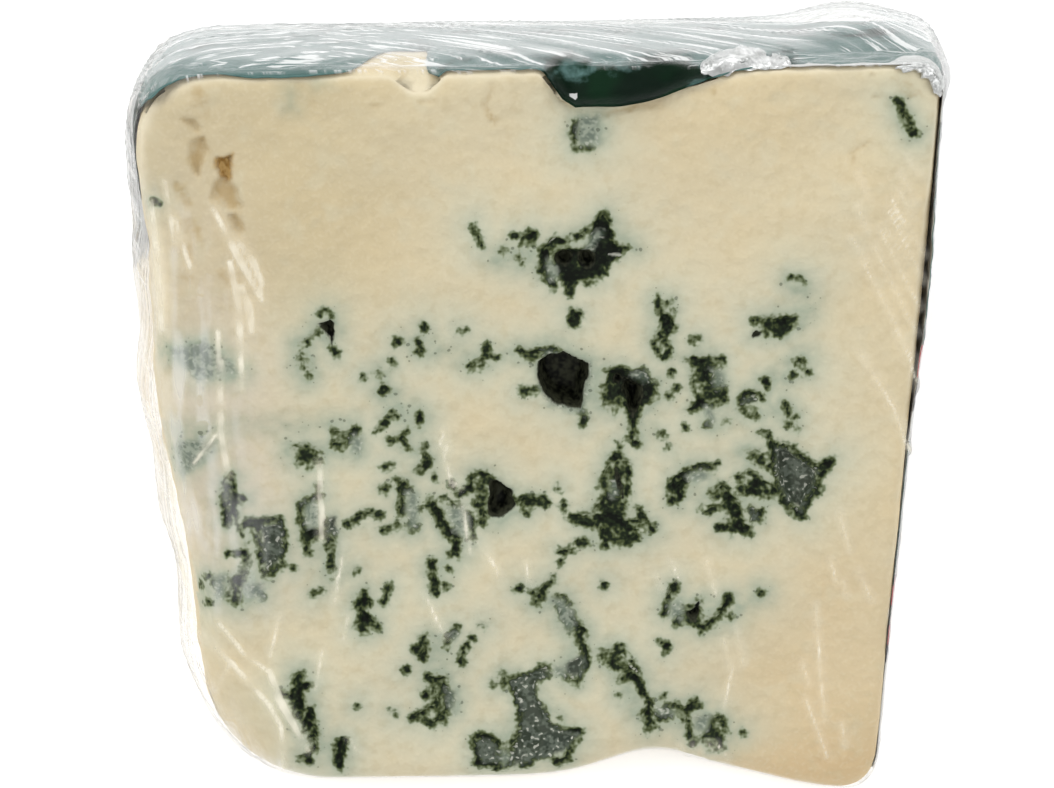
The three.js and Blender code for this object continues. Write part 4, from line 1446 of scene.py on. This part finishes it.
def corner_fold():
    u, v = strip(CORNER_CELLS)
    along_rim = lerp(CORNER_FROM, 1, np.clip(u / CORNER_TURN, 0, 1))
    along_flat = lerp(1, CORNER_TO, np.clip((u - CORNER_TURN) / (1 - CORNER_TURN), 0, 1))
    edge = stretched(np.stack([along_rim, along_flat, np.ones_like(u)], 1))
    inward = np.array([*CORNER_TOWARDS, face_height(CORNER_TOWARDS[1])]) - edge
    inward /= np.linalg.norm(inward, axis=1)[:, None]
    down = lerp(np.interp(u, *CORNER_DOWN), -np.interp(u, *CORNER_OVER), v)
    down += 0.35 * noise(np.stack([u * 14, v * 4, v * 0], 1), 0.9, 84)
    places = edge + inward * np.maximum(-down, 0)[:, None] - [0, 0, 1] * np.maximum(down, 0)[:, None]
    puff = 0.75 * crinkled(places, 2.2, 85, 3) + 0.35 * crinkled(places, 1.0, 86, 3)
    return puffed(places, 0.22, puff * closed_at_edges(u, v), CORNER_CELLS)


# ---------------------------------------------------------------- the film

FILM_GAP = 0.14
FILM_UNDER = 0.5
OVER_FOIL = 1.05
OVER_FOIL_TOP = 0.5
FRINGE = 2.0
OVER_FLAT = 0.25
LOOSE_FLAP = {"at": 39.5, "reach": 6.5, "height": 1.9}
FILM_CELLS = {"columns": 216, "rows": 198, "layers": 66, "coarse": 3}
FILM_OPENING = (0.25, 0.4)
FILM_COOL = (0.87, 0.88, 0.87)
# Painted light: the film's white on its left side, warmer and lighter to lift the shade there
FILM_WARM_LIGHTENED = (0.96, 0.94, 0.89)
FILM_CREASED = (0.9, 0.85, 0.7)
# The film's milky white is partly the haze of crumpled film and partly a painted glare of its wrinkles
# How cloudy the film is over the rim, at the rim's left corner, near the rim, and on each flat
CLOUD_AND_GLARE = {"rim": 0.68, "corner": 0.56, "veil": 0.5, "left": 0.3, "right": 0.08}
# How high its folds stand on the rim, on each flat and underneath, in mm
FOLDS = {"rim": 0.36, "left": 0.4, "right": 0.2, "under": 0.5}


def fan(first, last, count, half, seed):
    """Fine creases spread from one to another, each from start to end."""
    draw = np.random.default_rng(seed)
    for share in np.linspace(0, 1, count):
        ends = lerp(np.array(first, float), np.array(last, float), share)
        (ax, ay), (bx, by) = ends + draw.normal(0, 1.6, (2, 2))
        yield line((ax, ay, half), (bx, by, half * draw.uniform(0.2, 0.8)))


# The film's creases over the cut face, as courses of (x, y, half width) in the photo's pixels
CREASES = [
    *fan(((908, 156), (923, 180)), ((886, 224), (906, 262)), 5, 0.3, 97),
    *fan(((893, 196), (926, 258)), ((866, 262), (914, 356)), 5, 0.9, 96),
    *fan(((860, 176), (868, 196)), ((852, 236), (866, 262)), 3, 0.2, 98),
    *fan(((680, 745), (690, 757)), ((716, 744), (727, 758)), 5, 0.6, 99),
    line((337, 577, 0.9), (335, 601, 0.7)),
    line((349, 615, 1), (343, 639, 0.8)),
    line((279, 720, 1), (282, 734, 1.2), (285, 766, 0.9)),
    line((453, 476, 0.7), (460, 487, 0.8)),
    line((526, 562, 0.7), (530, 584, 0.7)),
    line((164, 180, 1), (175, 241, 1.6)),
    line((182, 235, 1), (190, 267, 1.4)),
    line((213, 207, 1.4), (238, 255, 3.2), (262, 299, 1.4)),
    line((239, 240, 2), (254, 262, 3), (262, 283, 2), (261, 296, 1)),
    line((242, 286, 2), (250, 310, 3.6), (252, 330, 2)),
    line((230, 262, 2), (238, 299, 3), (240, 330, 2.6), (242, 388, 1.4)),
    line((218, 330, 1.6), (221, 428, 2.6), (226, 470, 1.4)),
    line((224, 440, 1.2), (230, 474, 1.2)),
    line((165, 181, 1.4), (169, 211, 2)),
    line((175, 216, 1.2), (190, 267, 1.6)),
    line((152, 200, 1.4), (158, 260, 2), (163, 330, 1.4)),
    line((166, 440, 1.2), (176, 508, 1.6), (184, 561, 1.4), (193, 619, 1)),
    line((320, 464, 3), (322, 537, 2.4)),
    line((350, 737, 1), (357, 750, 1)),
    line((442, 430, 1), (449, 451, 1)),
    line((440, 440, 1.4), (452, 485, 1.4)),
    line((483, 545, 1), (495, 564, 1.2), (498, 575, 0.8)),
    line((270, 670, 2.4), (279, 698, 3.4), (292, 720, 3), (308, 749, 1.6)),
    line((215, 435, 1.2), (194, 463, 0.8)),
    line((222, 360, 1.2), (222, 420, 0.9)),
    line((193, 624, 1), (232, 662, 1.8), (268, 702, 1.8), (281, 725, 1.4), (285, 765, 1)),
    line((218, 620, 1), (243, 651, 1.4), (270, 672, 1.4), (279, 699, 1.2), (291, 718, 0.8)),
    line((232, 662, 1.2), (216, 687, 0.8)),
    line((348, 614, 0.8), (344, 639, 0.8)),
    line((322, 651, 1), (316, 687, 0.7)),
    line((426, 595, 0.8), (436, 618, 1.3), (446, 637, 0.8)),
    line((279, 618, 0.8), (270, 657, 0.8)),
    line((321, 464, 1), (325, 518, 0.8)),
    line((345, 542, 0.8), (335, 600, 0.8)),
    line((463, 505, 1.6), (470, 552, 1.2)),
    line((477, 539, 1), (499, 574, 0.8)),
    line((831, 560, 0.8), (837, 583, 1)),
    line((843, 581, 0.8), (846, 594, 0.8)),
    line((816, 604, 0.8), (820, 667, 1.3), (825, 721, 0.7)),
    line((803, 663, 0.7), (809, 684, 0.7)),
    line((806, 698, 0.9), (827, 755, 1)),
    line((724, 640, 0.8), (732, 667, 1.1), (724, 709, 0.7)),
    line((736, 629, 0.7), (744, 663, 0.8)),
    line((707, 560, 0.8), (716, 594, 0.8)),
    line((672, 560, 0.7), (678, 577, 0.7)),
    line((657, 577, 0.7), (663, 590, 0.7)),
    line((858, 570, 0.8), (871, 598, 1)),
    line((842, 724, 0.7), (845, 744, 0.7)),
    line((862, 355, 1), (894, 408, 1.6), (909, 452, 1)),
    line((896, 330, 0.9), (910, 359, 1.4), (919, 393, 0.9)),
    line((840, 513, 0.8), (850, 550, 0.9)),
]
CREASE_HEIGHT = 0.4


def film_spread(p):
    """How far the film's sides stand out past its gap: over the foil, and in the left fringe."""
    x, y, z = p.T
    edge = half_width(p)
    over_rim = smoothstep(radius(p), WHEEL_RADIUS - 7, WHEEL_RADIUS - 2)
    over_right = smoothstep(x, edge - 5, edge - 1.5)
    over_corner = smoothstep(-x, edge - 8, edge - 2) * smoothstep(y, 52, 62)
    over_foil = np.maximum(np.maximum(over_rim, over_right * OVER_FLAT), over_corner)
    over_foil *= lerp(OVER_FOIL_TOP, 1, smoothstep(face_height(y) - z, 0, 4))
    flap = LOOSE_FLAP["height"] * bump(x, LOOSE_FLAP["at"], LOOSE_FLAP["reach"]) * over_rim
    flap = flap * smoothstep(face_height(y) - z, 1, 10)
    ramp = smoothstep(y, 4, 16) * (1 - smoothstep(y, 60, 78))
    fringe = ramp * FRINGE * smoothstep(-x, edge - 4, edge - 1) * (0.85 + 0.15 * np.sin(0.42 * y))
    slack = EDGE_SLACK["height"] * bump(y, EDGE_SLACK["at"], EDGE_SLACK["reach"]) * over_right
    slack = slack * (1 - smoothstep(face_height(y) - z, 2, 10))
    return np.maximum(over_foil * OVER_FOIL + flap + slack, fringe)


def ridged(places, size, seed, sharpness=3):
    return (1 - np.abs(noise(places, size, seed))) ** sharpness


def film_material():
    n = Nodes("stretch_film")
    course = n.new("ShaderNodeCombineXYZ")
    n.put(course.inputs["X"], n.field("across"))
    n.put(course.inputs["Y"], n.times(n.field("along"), 0.07))
    streak = n.new("ShaderNodeTexNoise")
    n.put(streak.inputs["Vector"], course.outputs["Vector"])
    n.put(streak.inputs["Scale"], 1.1)
    n.put(streak.inputs["Detail"], 2.0)
    n.put(streak.inputs["Roughness"], 0.6)
    grain = streak.outputs["Fac"]

    # White over the creases: partly the haze of folded film, partly a painted highlight of their glints
    uneven = n.times(n.noise(0.8, 1, 0.6), 0.3)
    crease = n.ramp(n.plus(n.field("crease"), uneven), -0.3, 0.12)
    # Milky white over the rim and flats: partly haze of crumpled film, partly a painted glare
    cloud_and_glare = n.times(n.field("cloud_and_glare"), n.plus(n.ramp(grain, 0.51, 0.63), 0.16), clamp=True)
    milk = n.times(n.field("milk"), n.ramp(n.noise(1.6, 1, 0.55, stretch=(1, 0.16, 0.3)), -0.1, 0.22))
    beside = n.times(n.ramp(n.field("crease"), -1.1, 0.2), 0.18)
    broken = n.plus(n.times(n.noise(2.6, 0), 1.6), 0.3)
    crease_haze_and_highlight = n.plus(beside, n.times(crease, broken, clamp=True))
    cover = n.math("MAXIMUM", crease_haze_and_highlight, n.math("MAXIMUM", cloud_and_glare, milk), clamp=True)

    normal = n.bump(n.times(grain, 0.6), 0.4, 0.2)
    clear = n.new("ShaderNodeBsdfTransparent")
    gloss = n.new("ShaderNodeBsdfGlossy")
    n.put(gloss.inputs["Roughness"], 0.16)
    n.put(gloss.inputs["Normal"], normal)
    thin = n.new("ShaderNodeMixShader")
    slant = n.new("ShaderNodeLayerWeight")
    n.put(slant.inputs["Normal"], normal)
    n.put(thin.inputs["Fac"], n.times(n.ramp(slant.outputs["Facing"], 0.36, 0.92), 0.56))
    n.put(thin.inputs[1], clear.outputs["BSDF"])
    n.put(thin.inputs[2], gloss.outputs["BSDF"])
    # On the left side the film's white is painted warmer and lighter, lifting the shade that falls on it
    # there
    tone = n.mix(n.field("warm_lightened"), FILM_COOL, FILM_WARM_LIGHTENED)
    tone = n.mix(n.ramp(n.field("crease"), -1.2, -0.1), tone, FILM_CREASED)
    white = n.principled(Base_Color=tone, Roughness=0.22, Normal=normal)
    film = n.new("ShaderNodeMixShader")
    n.put(film.inputs["Fac"], cover)
    n.put(film.inputs[1], thin.outputs["Shader"])
    n.put(film.inputs[2], white)
    return n.finish(film.outputs["Shader"])


def film():
    cube, faces = cube_surface(**FILM_CELLS)
    start = stretched(cube)
    room = film_spread(start)[:, None] * [1, 1, 0] + FILM_GAP

    def form(p):
        return wedge(p, sides(p) - film_spread(p), FILM_ROUNDING)

    places, outward = settle(start + room * cube, form, FILM_GAP)
    facing = outward @ FACE_NORMAL
    on_face = smoothstep(facing, 0.55, 0.9)
    on_rim = smoothstep(outward[:, 1], 0.35, 0.8)
    middle_of_rim = (cube[:, 1] > 0.999) & (np.abs(cube[:, 0]) < 0.9) & (cube[:, 2] < 0.9)
    on_rim = np.where(middle_of_rim, 1, on_rim)
    on_left = smoothstep(-outward[:, 0], 0.25, 0.7)
    on_right = smoothstep(outward[:, 0], 0.25, 0.7)
    under = smoothstep(-outward[:, 2], 0.5, 0.9)
    x, y, z = places.T

    # Creases run diagonally over the rim, the other way near its left end, and along the flats
    turned = 0.8 * np.hypot(start[:, 0] + 28, 14)
    across = lerp(x + 0.22 * y, start[:, 2] - turned, on_rim)
    across = lerp(across, z + 0.07 * y, np.maximum(on_left, on_right) * (1 - on_rim))
    crushed = on_rim * (1 - smoothstep(x, -32, -14))
    along = lerp(y, start[:, 0], on_rim) * lerp(1, 2, crushed)
    course = np.stack([across, along / 14, across * 0], 1)
    folds = 0.6 * ridged(course, 2.6, 91) + 0.4 * ridged(course, 1.1, 92)
    parts = {"rim": on_rim, "left": on_left, "right": on_right, "under": under}
    height = sum(FOLDS[part] * share for part, share in parts.items())
    relief = height * (folds - 0.35)

    seen = in_photo(places)
    crease = np.full(len(places), -2.0)
    for shape in CREASES:
        near = (facing > 0.3) & near_shape(seen, shape)
        crease[near] = np.maximum(crease[near], mm_inside(seen[near], shape))
    crease -= 0.1 * smoothstep(seen[:, 0], 280, 330)
    waves = 0.06 * on_face * layered_noise(places, 9, 93)
    relief += CREASE_HEIGHT * smoothstep(crease, -0.9, 0.15) + waves
    relief += FILM_UNDER * under * (0.6 + 0.4 * crinkled(places, 6, 94)) + 0.04 * under
    moved = places + outward * relief[:, None]

    # The film is clear over the foil's deep green and where the foil lifts
    clear = np.maximum(mm_inside(seen, DEEP_GREEN), mm_inside(seen, LIFTED))
    left_corner = 1 - smoothstep(x, -47, -34)
    # Milky white over the rim and flats: partly haze of crumpled film, partly a painted glare
    cloud_and_glare = on_rim * lerp(CLOUD_AND_GLARE["rim"], CLOUD_AND_GLARE["corner"], left_corner) * smoothstep(-clear, -0.6, 0.4)
    veil = CLOUD_AND_GLARE["veil"] * smoothstep(outward[:, 1], -0.3, 0.3) * (1 - on_rim)
    cloud_and_glare = np.maximum(cloud_and_glare, veil * smoothstep(-clear, -0.4, 0.6))
    cloud_and_glare = np.maximum(cloud_and_glare, CLOUD_AND_GLARE["left"] * on_left * smoothstep(y, 0, 12))
    cloud_and_glare = np.maximum(cloud_and_glare, CLOUD_AND_GLARE["right"] * on_right)
    shoulder = (1 - smoothstep(x + half_width(places), 2, 14)) * smoothstep(y, 14, 26)
    shoulder *= 1 - smoothstep(y, 62, 74)
    milk = 0.34 * shoulder * on_face
    fields = {"across": across, "along": along, "crease": crease,
              # On the left side, painted light that makes the film's white warmer and lighter
              "cloud_and_glare": cloud_and_glare, "milk": milk, "warm_lightened": on_left}

    opening_u, opening_v = FILM_OPENING
    open_point = (cube[:, 2] < -0.99) & (np.abs(cube[:, 0]) < opening_u) & (np.abs(cube[:, 1]) < opening_v)
    cover = [face for face in faces if not all(open_point[i] for i in face)]
    return moved, cover, fields


def solidify(piece, thickness, offset, material_offset=0):
    sheet = piece.modifiers.new("sheet", "SOLIDIFY")
    sheet.thickness = thickness * MM
    sheet.offset = offset
    sheet.material_offset = material_offset


# ---------------------------------------------------------------- building

cheese_places, cheese_faces, cheese_fields = cheese()
low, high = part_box("cheese")
middle = (cheese_places.min(0) + cheese_places.max(0)) / 2
SHIFT = np.array([(low.x + high.x) / 2 / MM - middle[0], (low.y + high.y) / 2 / MM - middle[1], low.z / MM])

cheese_piece = make_mesh("blue_cheese", cheese_places + SHIFT, cheese_faces, cheese_material(), cheese_fields)
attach(cheese_piece, "root")
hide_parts("cheese")

foil_places, foil_faces, foil_fields = foil()
foil_piece = make_mesh("printed_foil", foil_places + SHIFT, foil_faces, foil_material(), foil_fields)
silver = silver_material()
foil_piece.data.materials.append(silver)
solidify(foil_piece, FOIL_SHEET, -1, 1)
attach(foil_piece, "root")
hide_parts("foil")

for name, fold in (("foil_torn_fold", foil_fold), ("foil_corner_fold", corner_fold)):
    fold_places, fold_faces = fold()
    fold_piece = make_mesh(name, fold_places + SHIFT, fold_faces, silver)
    fold_piece.data.shade_flat()
    solidify(fold_piece, FOIL_SHEET, 1)
    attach(fold_piece, "root")

film_places, film_faces, film_fields = film()
film_piece = make_mesh("stretch_film", film_places + SHIFT, film_faces, film_material(), film_fields)
# It casts no shadow, which saves render time and leaves the cheese under it a little lighter
film_piece.visible_shadow = False
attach(film_piece, "root")
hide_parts("film")

# ---------------------------------------------------------------- floor, light and camera


# Half the floor's width, in metres
FLOOR = 1.5
WORLD_STRENGTH = 0.385
# Each light's place, its width and depth in metres, and its power
LIGHTS = {
    "left_light": ((-0.75, 0.25, 0.75), (0.8, 0.8), 5.1),
    "right_light": ((0.75, 0.1, 0.75), (0.8, 0.8), 3.85),
    "back_light": ((0.0, 0.9, 0.65), (1.0, 0.6), 4.1),
    "front_light": ((0.0, -0.8, 0.8), (0.9, 0.6), 3.2),
}


def floor():
    mesh = bpy.data.meshes.new("floor")
    corners = [(-FLOOR, -FLOOR, 0), (FLOOR, -FLOOR, 0), (FLOOR, FLOOR, 0), (-FLOOR, FLOOR, 0)]
    mesh.from_pydata(corners, [], [(0, 1, 2, 3)])
    n = Nodes("floor")
    n.place = n.vector("SCALE", n.place, scale=0.02)
    tone = n.mix(n.ramp(n.noise(1, 2), -0.3, 0.3), (0.93, 0.93, 0.93), (0.96, 0.96, 0.96))
    paper = n.principled(Base_Color=tone, Roughness=0.9, Emission_Color=(1, 1, 1), Emission_Strength=0.3)
    mesh.materials.append(n.finish(paper))
    piece = bpy.data.objects.new("floor", mesh)
    bpy.context.scene.collection.objects.link(piece)


def soft_light(name, place, size, power):
    light = bpy.data.lights.new(name, "AREA")
    light.shape = "RECTANGLE"
    light.size, light.size_y = size
    light.energy = power
    lamp = bpy.data.objects.new(name, light)
    lamp.location = place
    lamp.rotation_euler = (Vector((0, 0, 0.02)) - Vector(place)).to_track_quat("-Z", "Y").to_euler()
    bpy.context.scene.collection.objects.link(lamp)


def lights():
    world = bpy.data.worlds.new("studio")
    world.use_nodes = True
    background = world.node_tree.nodes["Background"]
    background.inputs["Color"].default_value = (1, 1, 1, 1)
    background.inputs["Strength"].default_value = WORLD_STRENGTH
    bpy.context.scene.world = world
    for name, settings in LIGHTS.items():
        soft_light(name, *settings)


def camera():
    data = bpy.data.cameras.new("camera")
    data.lens = LENS
    data.sensor_width = SENSOR
    data.sensor_fit = "HORIZONTAL"
    data.clip_start = 0.01
    eye = bpy.data.objects.new("camera", data)
    across = np.cross(VIEW_UP, TO_CAMERA)
    turn = Matrix(np.stack([across, VIEW_UP, TO_CAMERA], 1).tolist()) @ Matrix.Rotation(-VIEW_ROLL, 3, "Z")
    eye.matrix_world = Matrix.Translation(Vector((CAMERA_PLACE + SHIFT) * MM)) @ turn.to_4x4()
    bpy.context.scene.collection.objects.link(eye)
    bpy.context.scene.camera = eye


floor()
lights()
camera()
bpy.context.scene.view_settings.view_transform = "Standard"
